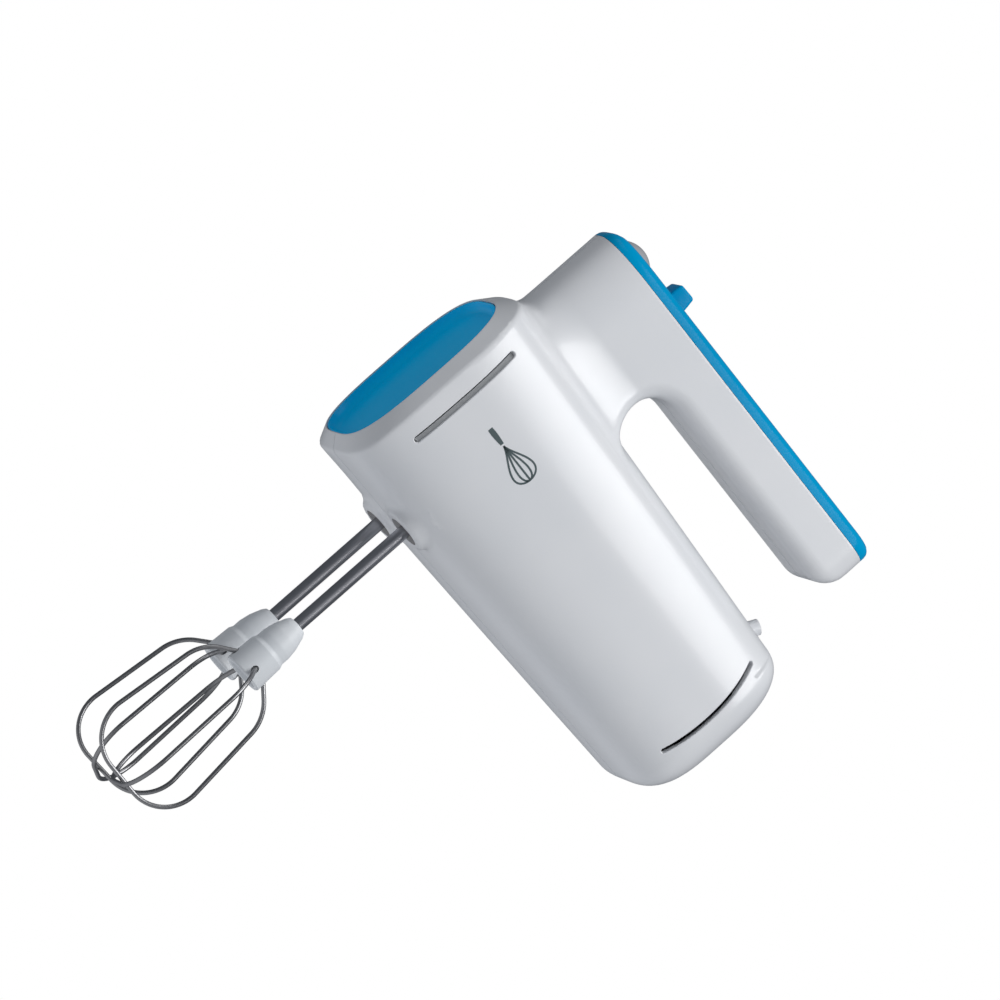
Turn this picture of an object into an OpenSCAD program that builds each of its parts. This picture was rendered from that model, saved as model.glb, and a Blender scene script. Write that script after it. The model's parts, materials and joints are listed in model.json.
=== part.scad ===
// Hand mixer with two wire beaters, as separate named parts.
// Millimetres. +X points to the rear, +Z up, beaters hang down.
// Build space: the beater axes stand at X = 0, and Z = 0 is just above the underside there.
// Every part is then moved so that the centre of the hand grip is the origin.

/* [Body] */
// X of the rearmost point of the motor body
body_rear_x = 165; // [150:1:185]
// Half of the widest body width
body_half_w = 40.5; // [34:0.5:48]
// Height of the body top over the beater axes
body_top_z = 93.8; // [85:0.2:105]
// Height of the underside at the beater axes
body_low_z = -2.8; // [-8:0.2:4]
// Taper of top and underside towards the rear, per millimetre
body_taper = 0.045; // [0:0.001:0.1]
// X of the flat front face
front_x = -47; // [-60:0.5:-40]
// Width and depth of the bevel around the front face
bevel = 5.5; // [2:0.1:9]
// Thickness of the moulded walls
wall = 2.4; // [1.6:0.1:4]

/* [Handle] */
// X of the front of the neck
neck_front_x = -36.4; // [-42:0.2:-28]
// X of the front end of the finger gap
gap_front_x = 26.3; // [15:0.2:35]
// Radius of the front end of the finger gap
gap_end_r = 13; // [8:0.5:16]
// X of the rear end of the handle
handle_rear_x = 146.5; // [130:0.5:165]
// Half of the handle width
handle_half_w = 18; // [14:0.5:23]
// Height of the handle top
handle_top_z = 149.4; // [140:0.2:160]
// Height of the handle underside
handle_low_z = 120.2; // [112:0.2:128]
// Thickness of the blue cover band along the handle top
cover_t = 6.8; // [4:0.1:9]

/* [Beaters] */
// Distance between the two beater axes
beater_gap = 36; // [30:0.5:46]
// Radius of the steel beater shaft
shaft_r = 2.9; // [2:0.05:4]
// Height of the wire centre at the lowest point
tip_z = -162.4; // [-190:0.2:-140]
// Half width of the cage where side and floor lines meet
cage_half_w = 27.2; // [20:0.2:32]
// Radius of the wires
wire_r = 1.0; // [0.6:0.05:1.6]
// Turn of the left cage about its own axis
left_phase = -2; // [-90:0.1:90]
// Turn of the right cage about its own axis
right_phase = -33.6; // [-90:0.1:90]

/* [Drive] */
// Height of the motor axis
motor_z = 45.5; // [40:0.5:52]
// Number of teeth on each spindle gear
gear_teeth = 20; // [16:1:30]
// Number of thread starts on the worm
worm_starts = 2; // [1:1:3]
// Pitch radius of the worm
worm_pitch_r = 4; // [3:0.1:6]
// Gap between the flanks of worm and gear
flank_gap = 0.35; // [0.1:0.05:0.6]

/* [Controls] */
// Travel of the eject button
eject_travel = 5; // [3:0.5:8]
// Travel of the speed tab
speed_travel = 20; // [10:1:26]

/* [Hidden] */
$fn = 48;
grip_x = 82;
grip_z = 134;
fit = 0.05;
half_gap = beater_gap / 2;
bore_r = shaft_r + fit;
tube_r = 5;
tube_low_z = 0;
tube_top_z = 64;
gear_pitch_r = half_gap - worm_pitch_r;
gear_module = 2 * gear_pitch_r / gear_teeth;
worm_lead = worm_starts * PI * gear_module;
tooth_up = 0.78 * gear_module;
tooth_down = 0.95 * gear_module;
gear_face = 8;
worm_len = 20;
cover_low_z = handle_top_z - cover_t;
socket_r = 7.3;
button_x = -18.6;
button_r = 9.2;
button_low_z = 140;
yoke_z = 75 + eject_travel;
dome_rise = 4.3;
dome_r = 11.6;
tab_x = 7;
stator_x0 = 48;
stator_x1 = 72;
comm_x0 = 81;
comm_x1 = 93;
gland_x = 138.5;
gland_lean = 25;
gland_r = 3.6;
gland_bore_r = 2.6;

white = [0.93, 0.94, 0.94];
blue = [0.0, 0.56, 0.80];
grey = [0.72, 0.74, 0.76];
dark = [0.12, 0.12, 0.13];
steel = [0.62, 0.62, 0.64];
copper = [0.72, 0.42, 0.24];
brass = [0.78, 0.64, 0.34];
cream = [0.86, 0.83, 0.74];
green = [0.10, 0.36, 0.20];

// ---------- helpers ----------

module at_grip() {
  translate([-grip_x, 0, -grip_z]) children();
}

function mix(a, b, t) = a + (b - a) * t;
function clamp01(t) = min(1, max(0, t));
function ease(t) = let (u = clamp01(t)) u * u * (3 - 2 * u);
function spow(c, n) = sign(c) * pow(abs(c), 2 / n);
// width left at distance d from the tip of a rounded end of length len
function round_end(d, len, n) = pow(max(0, 1 - pow(1 - clamp01(d / len), n)), 1 / n);
function polar(r, a) = [r * cos(a), r * sin(a)];
function deg_of(len, r) = len / r * 180 / PI;

// closed rounded outline: half width a, heights b0 to b1, squareness n0 below and n1 above
function oval(a, b0, b1, n0, n1, zc, count) = [
  for (i = [0 : count - 1])
    let (
      t = 360 * (i + 0.5) / count,
      n = sin(t) >= 0 ? n1 : n0,
      h = sin(t) >= 0 ? b1 - zc : zc - b0
    )
    [a * spow(cos(t), n), zc + h * spow(sin(t), n)]
];

// solid skinned over rings that all have the same number of points
module skin(rings) {
  n = len(rings[0]);
  m = len(rings);
  pts = [for (r = rings) for (p = r) p];
  sides = [
    for (j = [0 : m - 2]) for (i = [0 : n - 1])
      let (k = (i + 1) % n)
      each [
        [j * n + i, (j + 1) * n + i, (j + 1) * n + k],
        [j * n + i, (j + 1) * n + k, j * n + k]
      ]
  ];
  first = [for (i = [0 : n - 1]) i];
  last = [for (i = [n - 1 : -1 : 0]) (m - 1) * n + i];
  polyhedron(points = pts, faces = concat(sides, [first], [last]), convexity = 8);
}

module along_x(x0, x1, r) {
  translate([x0, 0, motor_z]) rotate([0, 90, 0]) cylinder(h = x1 - x0, r = r);
}

module tube_x(x0, x1, ro, ri) {
  translate([x0, 0, motor_z]) rotate([0, 90, 0]) difference() {
    cylinder(h = x1 - x0, r = ro);
    translate([0, 0, -1]) cylinder(h = x1 - x0 + 2, r = ri);
  }
}

module ring_z(z0, z1, ro, ri) {
  translate([0, 0, z0]) difference() {
    cylinder(h = z1 - z0, r = ro);
    translate([0, 0, -1]) cylinder(h = z1 - z0 + 2, r = ri);
  }
}

module both_sides() {
  for (s = [-1, 1]) translate([0, s * half_gap, 0]) children();
}

module box(x0, x1, y0, y1, z0, z1) {
  translate([x0, y0, z0]) cube([x1 - x0, y1 - y0, z1 - z0]);
}

// box between two distances from the mid plane, on the side s
module side_box(x0, x1, s, y0, y1, z0, z1) {
  box(x0, x1, min(s * y0, s * y1), max(s * y0, s * y1), z0, z1);
}

// rod along Y from y0 to y1
module rod_y(x, y0, y1, z, r) {
  translate([x, y0, z]) rotate([-90, 0, 0]) cylinder(h = y1 - y0, r = r, $fn = 24);
}

// ---------- body shape ----------

rear_len = 20;
ring_n = 40;

function top_z(x) = body_top_z - body_taper * x;
function low_z(x) = body_low_z + body_taper * x + 0.6 * ease(-x / 30);
function half_w(x) = body_half_w - 4.5 * pow(clamp01((x - 40) / 105), 1.8);

// ring of the body: close scales the outline about its middle, g is an inset
function body_ring(x, close, g) =
  let (
    z0 = low_z(x),
    z1 = top_z(x),
    zc = (z0 + z1) / 2,
    h = (z1 - z0) / 2 - g,
    o = oval((half_w(x) - g) * close, zc - h * close, zc + h * close, 4.2, 3.0, zc, ring_n)
  )
  [for (p = o) [x, p[0], p[1]]];

// ring of the front opening: d behind the front face, g an inset from the rim
function front_ring(d, g) =
  let (
    a = body_half_w - bevel - g,
    z0 = low_z(front_x) + bevel + 0.4 + g,
    z1 = top_z(front_x) - bevel - 3.0 - g,
    o = oval(a, z0, z1, 3.3, 3.0, 45, ring_n)
  )
  [for (p = o) [front_x + d, p[0], p[1]]];

function rear_close(t) = pow(max(0, 1 - pow(t, 2.6)), 0.5);

module body_solid(g) {
  tail = body_rear_x - rear_len;
  front = g > 0
    ? [front_ring(-1, 0), front_ring(7.2, 0), front_ring(7.3, 2), front_ring(9, 2),
       body_ring(front_x + 10.6, 1, g)]
    : [front_ring(0, 0), front_ring(0.5, -0.45), body_ring(front_x + bevel - 0.4, 0.99, 0),
       body_ring(front_x + bevel + 1, 1, 0)];
  middle = [for (x = [-28, 8, 40, 65, 90, 112, 130]) body_ring(x, 1, g)];
  rear = [
    for (t = [0, 0.25, 0.42, 0.56, 0.69, 0.8, 0.89, 0.96, 0.992])
      body_ring(tail + (rear_len - g) * t, rear_close(t), g)
  ];
  skin(concat(front, middle, rear));
}

// ---------- handle and neck shape ----------

handle_n = 32;
neck_len = gap_front_x - neck_front_x;

module handle_solid(g) {
  x0 = neck_front_x + g;
  x1 = handle_rear_x - g;
  front = [for (d = [0.05, 0.5, 1.6, 3.4, 6, 9.5, 15, 22, neck_len / 2]) x0 + d];
  middle = [50, 85, 115];
  rear = [for (d = [15, 10, 6.5, 4, 2.2, 0.9, 0.2]) x1 - d];
  skin([
    for (x = concat(front, middle, rear))
      let (
        nose = round_end(x - x0, neck_len / 2, 2.7),
        tail = mix(0.35, 1, round_end(x1 - x, 13, 2.3)),
        w = (handle_half_w - g) * nose * tail,
        z1 = handle_top_z - g - 7 * (1 - round_end(x - x0, 9, 2)) - 4 * (1 - round_end(x1 - x, 5, 2)),
        z0 = handle_low_z + g + 17 * (1 - round_end(x1 - x, 14, 2.1))
      )
      [for (p = oval(w, z0, z1, 2.6, 3.4, mix(z0, z1, 0.5), handle_n)) [x, p[0], p[1]]]
  ]);
}

module neck_solid(g) {
  zc = handle_low_z - gap_end_r - 0.9;
  skin([
    for (k = [0 : 13])
      let (
        z = mix(87, 138, k / 13),
        dz = clamp01(abs(z - zc) / (gap_end_r + g)),
        x1 = gap_front_x + (gap_end_r + g) * (1 - sqrt(1 - dz * dz)) - g,
        x0 = neck_front_x + g,
        w = handle_half_w - g + 10 * pow(clamp01((112 - z) / 24), 2),
        xm = (x0 + x1) / 2,
        o = oval((x1 - x0) / 2, -w, w, 2.7, 2.7, 0, handle_n)
      )
      [for (p = o) [xm + p[0], p[1], z]]
  ]);
}

// long rounded slot through one side wall, bowed to the rear by bow
module side_slot(x, z0, z1, w, bow, tilt, steps, s) {
  for (k = [0 : steps - 1]) hull() for (q = [k / steps, (k + 1) / steps])
    translate([x + bow * (1 - pow(2 * q - 1, 2)) - tilt * (2 * q - 1), s * 30, mix(z0, z1, q)])
      rotate([90, 0, 0]) cylinder(h = 40, d = w, center = true, $fn = 12);
}

screw_spots = [[-32, 12], [-31, 80], [118, 12.5], [152, 48], [136, 132], [15, 104]];

// ---------- moulded parts ----------

// left half has s = -1, right half has s = 1
module housing_half(s) {
  difference() {
    union() {
      difference() {
        union() {
          body_solid(0);
          neck_solid(0);
          handle_solid(0);
          // raised collars around the beater sockets
          both_sides() translate([0, 0, -5.2]) cylinder(h = 6, r1 = 10.4, r2 = 15.5, $fn = 48);
        }
        body_solid(wall);
        neck_solid(wall);
        handle_solid(wall);
      }
      // screw towers
      intersection() {
        union() {
          body_solid(1);
          handle_solid(1);
          neck_solid(1);
        }
        for (p = screw_spots) rod_y(p[0], min(0, s * 60), max(0, s * 60), p[1], 3.8);
      }
      // seats of the lower spindle bushes
      both_sides() translate([0, 0, -2]) cylinder(h = 9.6, r = 10, $fn = 40);
      // ribs between the side wall and the floor
      intersection() {
        body_solid(1);
        for (x = [-14, 34, 76, 108]) hull() {
          side_box(x, x + 1.6, s, 4, 60, -10, 1);
          side_box(x, x + 1.6, s, 33, 60, -10, 22);
        }
      }
    }
    // sockets for the spindles and their bushes
    both_sides() translate([0, 0, -10]) cylinder(h = 40, r = socket_r, $fn = 48);
    // seat of the cover along the handle top
    box(-80, 200, -60, 60, cover_low_z, 200);
    side_slot(-32, 20, 74, 2.8, 0.4, 0, 2, s);
    side_slot(141.3, 20, 73.4, 2.0, 3.6, 1.1, 4, s);
    translate([gland_x, 0, top_z(gland_x)]) rotate([0, gland_lean, 0])
      cylinder(h = 30, r = gland_r + 0.15, center = true, $fn = 32);
    // screws come in from the right and bite in the left half
    for (p = screw_spots) {
      rod_y(p[0], -12.5, 20, p[1], s > 0 ? 1.7 : 1.45);
      rod_y(p[0], 8, 60, p[1], 3.2);
    }
    // the other half
    box(-100, 250, min(0, -s * 80), max(0, -s * 80), -60, 260);
  }
}

module housing_left() {
  color(white) at_grip() housing_half(-1);
}

module housing_right() {
  color(white) at_grip() housing_half(1);
}

module handle_cover() {
  color(blue) at_grip() difference() {
    union() {
      intersection() {
        handle_solid(0);
        box(-80, 200, -60, 60, cover_low_z, 200);
      }
      // short raised marks beside the speed tab, longer for each step
      for (k = [0 : 5]) hull() for (q = [0, 1])
        translate([tab_x + 4 * k, 9.6 + q * (1.2 + 0.3 * k), handle_top_z - 1.2])
          cylinder(h = 1.2, r = 0.45, $fn = 10);
    }
    // round opening for the eject button
    translate([button_x, 0, 120]) cylinder(h = 60, r = button_r + 0.35, $fn = 48);
    // slot for the stem of the speed tab
    hull() for (x = [tab_x - 1.2, tab_x + speed_travel + 1.2])
      translate([x, 0, 120]) cylinder(h = 60, r = 3.4, $fn = 24);
    // shallow track on which the tab slides
    hull() for (x = [tab_x - 3.9, tab_x + speed_travel + 3.9], y = [-5.9, 5.9])
      translate([x, y, handle_top_z - 1.2]) cylinder(h = 10, r = 2.2, $fn = 24);
  }
}

module front_cap() {
  color(blue) at_grip() difference() {
    union() {
      skin([front_ring(0.35, 0.7), front_ring(0.8, 0.2), front_ring(7, 0.2)]);
      // catches that snap behind the rim of the housing
      for (k = [1 : 5 : ring_n - 1]) hull() for (d = [6.4, 10.2])
        translate(front_ring(d, 3.6)[k]) rotate([0, 90, 0]) cylinder(h = 0.6, r = 1.3, $fn = 10);
    }
    skin([front_ring(-2, 1.3), front_ring(1.5, 1.9), front_ring(3.8, 3.6), front_ring(4.2, 5.5)]);
    skin([front_ring(6.0, 3.5), front_ring(8, 3.5)]);
  }
}

module speed_tab() {
  color(blue) at_grip() union() {
    translate([tab_x, 0, handle_top_z - 0.2]) hull() {
      translate([-4.2, 0, 0]) rotate([90, 0, 0]) cylinder(h = 14, r = 0.9, center = true);
      translate([4.2, 0, 0]) rotate([90, 0, 0]) cylinder(h = 14, r = 0.9, center = true);
      translate([-3.4, 0, 6.4]) rotate([90, 0, 0]) cylinder(h = 13, r = 1.3, center = true);
      translate([2.6, 0, 6.7]) rotate([90, 0, 0]) cylinder(h = 13, r = 1.3, center = true);
    }
    translate([tab_x, 0, 142.4]) cylinder(h = 7, r = 3.0);
  }
}

module speed_carrier() {
  color(dark) at_grip() difference() {
    union() {
      box(tab_x - 9, tab_x + 9, -8, 8, 140.3, 142.3);
      box(tab_x - 5, tab_x + 5, -4, 4, 135.8, 140.3);
    }
    for (q = [-1, 1]) translate([tab_x + q * 7, 0, 139]) cylinder(h = 6, r = 1.2);
  }
}

module eject_button() {
  color(grey) at_grip() translate([button_x, 0, 0]) rotate_extrude($fn = 64) union() {
    polygon([[0, button_low_z], [button_r - 1.6, button_low_z], [button_r, button_low_z + 1.6],
             [button_r, handle_top_z], [0, handle_top_z]]);
    intersection() {
      translate([0, handle_top_z + dome_rise - dome_r]) circle(r = dome_r, $fn = 96);
      translate([0, handle_top_z - 0.1]) square([button_r, 6]);
    }
  }
}

module eject_yoke() {
  color(cream) at_grip() difference() {
    union() {
      translate([button_x, 0, yoke_z]) cylinder(h = button_low_z - yoke_z, r = 3);
      box(button_x - 4, 4, -5, 5, yoke_z, yoke_z + 4);
      box(-4, 4, -half_gap - 4, half_gap + 4, yoke_z, yoke_z + 4);
      both_sides() translate([0, 0, 60.5]) cylinder(h = yoke_z - 60, r = 2.4);
    }
    box(-2, 2, -half_gap + 7, half_gap - 7, yoke_z - 1, yoke_z + 1.5);
  }
}

module eject_spring() {
  turns = 6;
  z0 = 118.2;
  color(steel) at_grip() translate([button_x, 0, z0])
    linear_extrude(height = button_low_z - 0.2 - z0, twist = -360 * turns, slices = 12 * turns,
                   segments = 6, convexity = 8)
      translate([5.2, 0]) circle(r = 0.62, $fn = 6);
}

module spring_shelf() {
  color(cream) at_grip() difference() {
    box(-27, -9, -11.4, 11.4, 115, 118);
    translate([button_x, 0, 110]) cylinder(h = 12, r = 3.5);
    for (q = [-1, 1]) translate([button_x, q * 8.8, 110]) cylinder(h = 12, r = 1.4);
  }
}

module cord_gland() {
  color(white) at_grip() translate([gland_x, 0, top_z(gland_x)]) rotate([0, gland_lean, 0]) difference() {
    union() {
      translate([0, 0, -7]) cylinder(h = 12.4, r = gland_r);
      translate([0, 0, -7.5]) cylinder(h = 2.4, r = gland_r + 2);
    }
    translate([0, 0, -9]) cylinder(h = 20, r = gland_bore_r);
  }
}

module cord_clamp() {
  color(cream) at_grip() difference() {
    union() {
      box(120, 132, -11, 11, 58, 61);
      box(120, 132, -11, 11, 66, 69);
      for (q = [-1, 1]) translate([126, q * 8.5, 58]) cylinder(h = 11, r = 2.2);
    }
    translate([110, 0, 63.5]) rotate([0, 90, 0]) cylinder(h = 40, r = gland_bore_r);
    for (q = [-1, 1]) translate([126, q * 8.5, 50]) cylinder(h = 30, r = 1.1);
  }
}

// ladder of bars behind a slot, one on each side of the body
module vent_screen(x0, x1, z0, z1, y) {
  bars = 7;
  for (s = [-1, 1]) {
    side_box(x0, x0 + 1, s, y - 1, y, z0, z1);
    side_box(x1 - 1, x1, s, y - 1, y, z0, z1);
    for (k = [0 : bars]) {
      z = z0 + k * (z1 - z0 - 1) / bars;
      side_box(x0, x1, s, y - 1, y, z, z + 1);
    }
  }
}

module vent_screen_front() {
  color(dark) at_grip() vent_screen(-36, -27.5, 22, 66, 33.5);
}

module vent_screen_rear() {
  color(dark) at_grip() vent_screen(138, 147, 26, 62, 27);
}

// ---------- beaters ----------

function dir2(a, b) = (b - a) / norm(b - a);

// centre of the rounding of corner b between a and c
function corner_mid(a, b, c, r) =
  let (u = dir2(b, a), v = dir2(b, c), w = (u + v) / norm(u + v), half = acos(u * v) / 2)
  b + w * r / sin(half);

// distance from the corner to where the rounding starts
function corner_cut(a, b, c, r) =
  let (u = dir2(b, a), v = dir2(b, c))
  r / tan(acos(u * v) / 2);

module rod2(p, q, r) {
  d = q - p;
  translate([p[0], 0, p[1]]) rotate([0, atan2(d[0], d[1]), 0]) cylinder(h = norm(d), r = r, $fn = 20);
}

module bend2(mid, p, q, rad, r) {
  a0 = atan2(p[1] - mid[1], p[0] - mid[0]);
  raw = atan2(q[1] - mid[1], q[0] - mid[0]) - a0;
  turn = raw > 180 ? raw - 360 : (raw < -180 ? raw + 360 : raw);
  start = turn > 0 ? a0 : a0 + turn;
  translate([mid[0], 0, mid[1]]) rotate([90, 0, 0]) rotate([0, 0, start])
    rotate_extrude(angle = abs(turn), $fn = 64) translate([rad, 0]) circle(r = r, $fn = 20);
}

// short sleeve centred on p that closes the joint between two lengths of wire along d
module joint_sleeve(p, d, r) {
  rod2(p - d * 0.3, p + d * 0.3, r * 1.05);
}

// round wire through the points of a path in the XZ plane, with rounded corners
module bent_wire(pts, radii, r) {
  n = len(pts);
  cuts = [for (i = [0 : n - 1])
    (i == 0 || i == n - 1) ? 0 : corner_cut(pts[i - 1], pts[i], pts[i + 1], radii[i])];
  for (i = [0 : n - 2]) {
    d = dir2(pts[i], pts[i + 1]);
    p = pts[i] + d * (cuts[i] + (i > 0 ? 0.05 : 0));
    q = pts[i + 1] - d * (cuts[i + 1] + (i < n - 2 ? 0.05 : 0));
    rod2(p, q, r);
    if (i > 0) joint_sleeve(p, d, r);
    if (i < n - 2) joint_sleeve(q, d, r);
  }
  for (i = [1 : n - 2])
    bend2(corner_mid(pts[i - 1], pts[i], pts[i + 1], radii[i]),
          pts[i] + dir2(pts[i], pts[i - 1]) * cuts[i],
          pts[i] + dir2(pts[i], pts[i + 1]) * cuts[i], radii[i], r);
}

hub_top = -65;
hub_low = -96;
loop_step = 2.15;
wire_start = [5.2, -88.7];
shoulder = [20.4, -101];

// the inner loop passes just under the outer one, clear of it
module wire_loop(low, half, phase) {
  pts = [
    [wire_start[0], wire_start[1]], [shoulder[0], shoulder[1]], [half, low],
    [-half, low], [-shoulder[0], shoulder[1]], [-wire_start[0], wire_start[1]]
  ];
  rotate([0, 0, phase]) bent_wire(pts, [0, 8.5, 17, 17, 8.5, 0], wire_r);
}

module wire_holes(phase) {
  for (a = [0, 180]) rotate([0, 0, phase + a]) rod2([5.0, -88.54], [23, -102.56], wire_r + fit);
}

module beater_hub(phase) {
  difference() {
    rotate_extrude($fn = 64) polygon([
      [0, hub_top], [3.3, hub_top], [3.9, hub_top - 1.2], [4.4, hub_top - 5], [5.6, hub_top - 9],
      [7.3, hub_top - 12.4], [7.9, hub_top - 15], [7.9, -81.6], [9.5, -82.6], [9.8, -95.1],
      [9.0, hub_low], [0, hub_low]
    ]);
    translate([0, 0, -86.5]) cylinder(h = 40, r = shaft_r + fit);
    wire_holes(phase);
    wire_holes(phase + 90);
  }
}

module beater_shaft() {
  difference() {
    union() {
      translate([0, 0, -86.4]) cylinder(h = 86.4 + 59, r = shaft_r);
      translate([0, 0, 59]) cylinder(h = 1, r1 = shaft_r, r2 = shaft_r - 0.9);
      box(-4.4, 4.4, -0.6, 0.6, 6, 12);
    }
    // groove that the clip springs into
    ring_z(22.2, 23.8, shaft_r + 1, shaft_r - 0.5);
  }
}

module beater_shaft_left() {
  color(steel) at_grip() translate([0, -half_gap, 0]) beater_shaft();
}

module beater_shaft_right() {
  color(steel) at_grip() translate([0, half_gap, 0]) beater_shaft();
}

module beater_hub_left() {
  color(white) at_grip() translate([0, -half_gap, 0]) beater_hub(left_phase);
}

module beater_hub_right() {
  color(white) at_grip() translate([0, half_gap, 0]) beater_hub(right_phase);
}

module wire_outer_left() {
  color(steel) at_grip() translate([0, -half_gap, 0]) wire_loop(tip_z, cage_half_w, left_phase);
}

module wire_inner_left() {
  color(steel) at_grip() translate([0, -half_gap, 0])
    wire_loop(tip_z - loop_step, cage_half_w - 1.4, left_phase + 90);
}

module wire_outer_right() {
  color(steel) at_grip() translate([0, half_gap, 0]) wire_loop(tip_z, cage_half_w, right_phase);
}

module wire_inner_right() {
  color(steel) at_grip() translate([0, half_gap, 0])
    wire_loop(tip_z - loop_step, cage_half_w - 1.4, right_phase + 90);
}

// ---------- spindles ----------

module spindle() {
  difference() {
    ring_z(tube_low_z, tube_top_z, tube_r, bore_r);
    // slots that drive the ears of the beater shaft
    box(-6, 6, -0.85, 0.85, tube_low_z - 1, 13);
    // window for the clip
    box(0, 6, -1.6, 1.6, 21.8, 24.2);
  }
}

// tooth outline of a spindle gear; the teeth take up a little less than half the pitch
module gear_outline() {
  step = 360 / gear_teeth;
  pitch_half = 90 / gear_teeth - deg_of(flank_gap / 2, gear_pitch_r);
  r0 = gear_pitch_r - tooth_down;
  r1 = gear_pitch_r + tooth_up;
  polygon([
    for (k = [0 : gear_teeth - 1])
      let (a = k * step)
      each [
        polar(r0, a - pitch_half * 1.75), polar(r1, a - pitch_half * 0.45),
        polar(r1, a + pitch_half * 0.45), polar(r0, a + pitch_half * 1.75)
      ]
  ]);
}

// lead angle of the worm gives the helix of the gear
gear_twist = deg_of(gear_face * worm_lead / (2 * PI * worm_pitch_r), gear_pitch_r);

module spindle_gear(side) {
  translate([0, 0, motor_z]) difference() {
    // one tooth points at the worm in the mid plane
    rotate([0, 0, -side * 90 - gear_twist / 2])
      linear_extrude(height = gear_face, center = true, twist = -gear_twist, slices = 4,
                     segments = 80, convexity = 6)
        gear_outline();
    cylinder(h = gear_face + 2, r = tube_r + fit, center = true);
  }
}

module spindle_clip() {
  translate([0, 0, 22.3]) difference() {
    union() {
      cylinder(h = 1.4, r = tube_r + 1.4);
      box(3.2, 5.6, -1.3, 1.3, 0, 1.4);
    }
    difference() {
      translate([0, 0, -1]) cylinder(h = 4, r = tube_r + fit);
      box(3.2, 5.6, -1.3, 1.3, -2, 4);
    }
    box(-8, -3, -2.2, 2.2, -1, 3);
  }
}

module spindle_left() {
  color(brass) at_grip() translate([0, -half_gap, 0]) spindle();
}

module spindle_right() {
  color(brass) at_grip() translate([0, half_gap, 0]) spindle();
}

module gear_left() {
  color(cream) at_grip() translate([0, -half_gap, 0]) spindle_gear(-1);
}

module gear_right() {
  color(cream) at_grip() translate([0, half_gap, 0]) spindle_gear(1);
}

module clip_left() {
  color(steel) at_grip() translate([0, -half_gap, 0]) spindle_clip();
}

module clip_right() {
  color(steel) at_grip() translate([0, half_gap, 0]) spindle_clip();
}

module lower_bushes() {
  color(brass) at_grip() both_sides() union() {
    ring_z(-1, 7.8, 7.2, tube_r + fit);
    ring_z(7.8, 9.2, 9.2, tube_r + fit);
  }
}

module upper_bushes() {
  color(brass) at_grip() both_sides() ring_z(56.8, 62, 7.2, tube_r + fit);
}

module gearbox_frame() {
  color(grey) at_grip() difference() {
    union() {
      box(-26, 28, -30, 30, 57, 61);
      box(-26, -21, -16, 16, 1, 57);
      box(23, 28, -16, 16, 2.4, 57);
    }
    both_sides() translate([0, 0, 50]) cylinder(h = 30, r = 7.25);
    along_x(-40, -10, 5.6);
    along_x(15, 40, 7.1);
    for (x = [-14, 16], s = [-1, 1]) translate([x, s * 26, 50]) cylinder(h = 30, r = 1.6);
  }
}

// ---------- motor ----------

module rotor_shaft() {
  color(steel) at_grip() union() {
    along_x(-27, 14, 2);
    along_x(14, 105, 3);
  }
}

// section of the worm thread across its axis
module worm_section() {
  n = 12 * worm_starts;
  r0 = worm_pitch_r - tooth_down;
  r1 = worm_pitch_r + tooth_up;
  step = PI * gear_module;
  polygon([
    for (i = [0 : n - 1])
      let (
        u = abs(((i % 12) / 12) - 0.5) * 2,
        half = 0.5 - flank_gap / step,
        f = clamp01(((half + 0.34) - u) / 0.68)
      )
      polar(mix(r0, r1, f), 360 * i / n)
  ]);
}

module worm() {
  color(steel) at_grip() translate([0, 0, motor_z]) rotate([0, 90, 0]) difference() {
    // thread gaps face both gears in the mid plane
    rotate([0, 0, 90 - 180 * worm_len / worm_lead])
      linear_extrude(height = worm_len, center = true, twist = -360 * worm_len / worm_lead,
                     slices = 40, segments = 24, convexity = 6)
        worm_section();
    cylinder(h = 30, r = 2 + fit, center = true);
  }
}

module armature_core() {
  color(grey) at_grip() translate([stator_x0, 0, motor_z]) rotate([0, 90, 0])
    linear_extrude(height = stator_x1 - stator_x0, convexity = 8) difference() {
      circle(r = 15, $fn = 96);
      circle(r = 3 + fit, $fn = 48);
      for (k = [0 : 11]) rotate([0, 0, 30 * k]) {
        translate([10.4, -1.5]) square([3.4, 3]);
        translate([13, -0.6]) square([4, 1.2]);
      }
    }
}

module armature_winding() {
  color(copper) at_grip() translate([0, 0, motor_z]) rotate([0, 90, 0]) union() {
    for (x = [stator_x0 - 5.2, stator_x1 + 0.2]) translate([0, 0, x]) difference() {
      union() {
        cylinder(h = 5, r1 = x < 60 ? 11.5 : 13.5, r2 = x < 60 ? 13.5 : 11.5);
      }
      translate([0, 0, -1]) cylinder(h = 8, r = 4.2);
    }
    for (k = [0 : 11]) rotate([0, 0, 30 * k])
      translate([12.1, 0, stator_x0 - 1]) cylinder(h = stator_x1 - stator_x0 + 2, r = 1.2, $fn = 16);
  }
}

module commutator() {
  color(copper) at_grip() translate([comm_x0, 0, motor_z]) rotate([0, 90, 0]) difference() {
    union() {
      cylinder(h = comm_x1 - comm_x0, r = 9);
      cylinder(h = 1.6, r = 10.4);
    }
    translate([0, 0, -1]) cylinder(h = 20, r = 3 + fit);
    for (k = [0 : 11]) rotate([0, 0, 30 * k + 15]) translate([7.6, -0.25, -1]) cube([4, 0.5, 20]);
  }
}

module cooling_fan() {
  color(dark) at_grip() translate([31, 0, motor_z]) rotate([0, 90, 0]) difference() {
    union() {
      translate([0, 0, 7.6]) cylinder(h = 1.4, r = 21);
      cylinder(h = 9, r = 6.5);
      for (k = [0 : 10]) rotate([0, 0, 360 / 11 * k])
        translate([6, 0, 0]) rotate([0, 0, 12]) translate([0, -0.6, 0]) cube([14.2, 1.2, 8]);
    }
    translate([0, 0, -1]) cylinder(h = 20, r = 3 + fit);
  }
}

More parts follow.
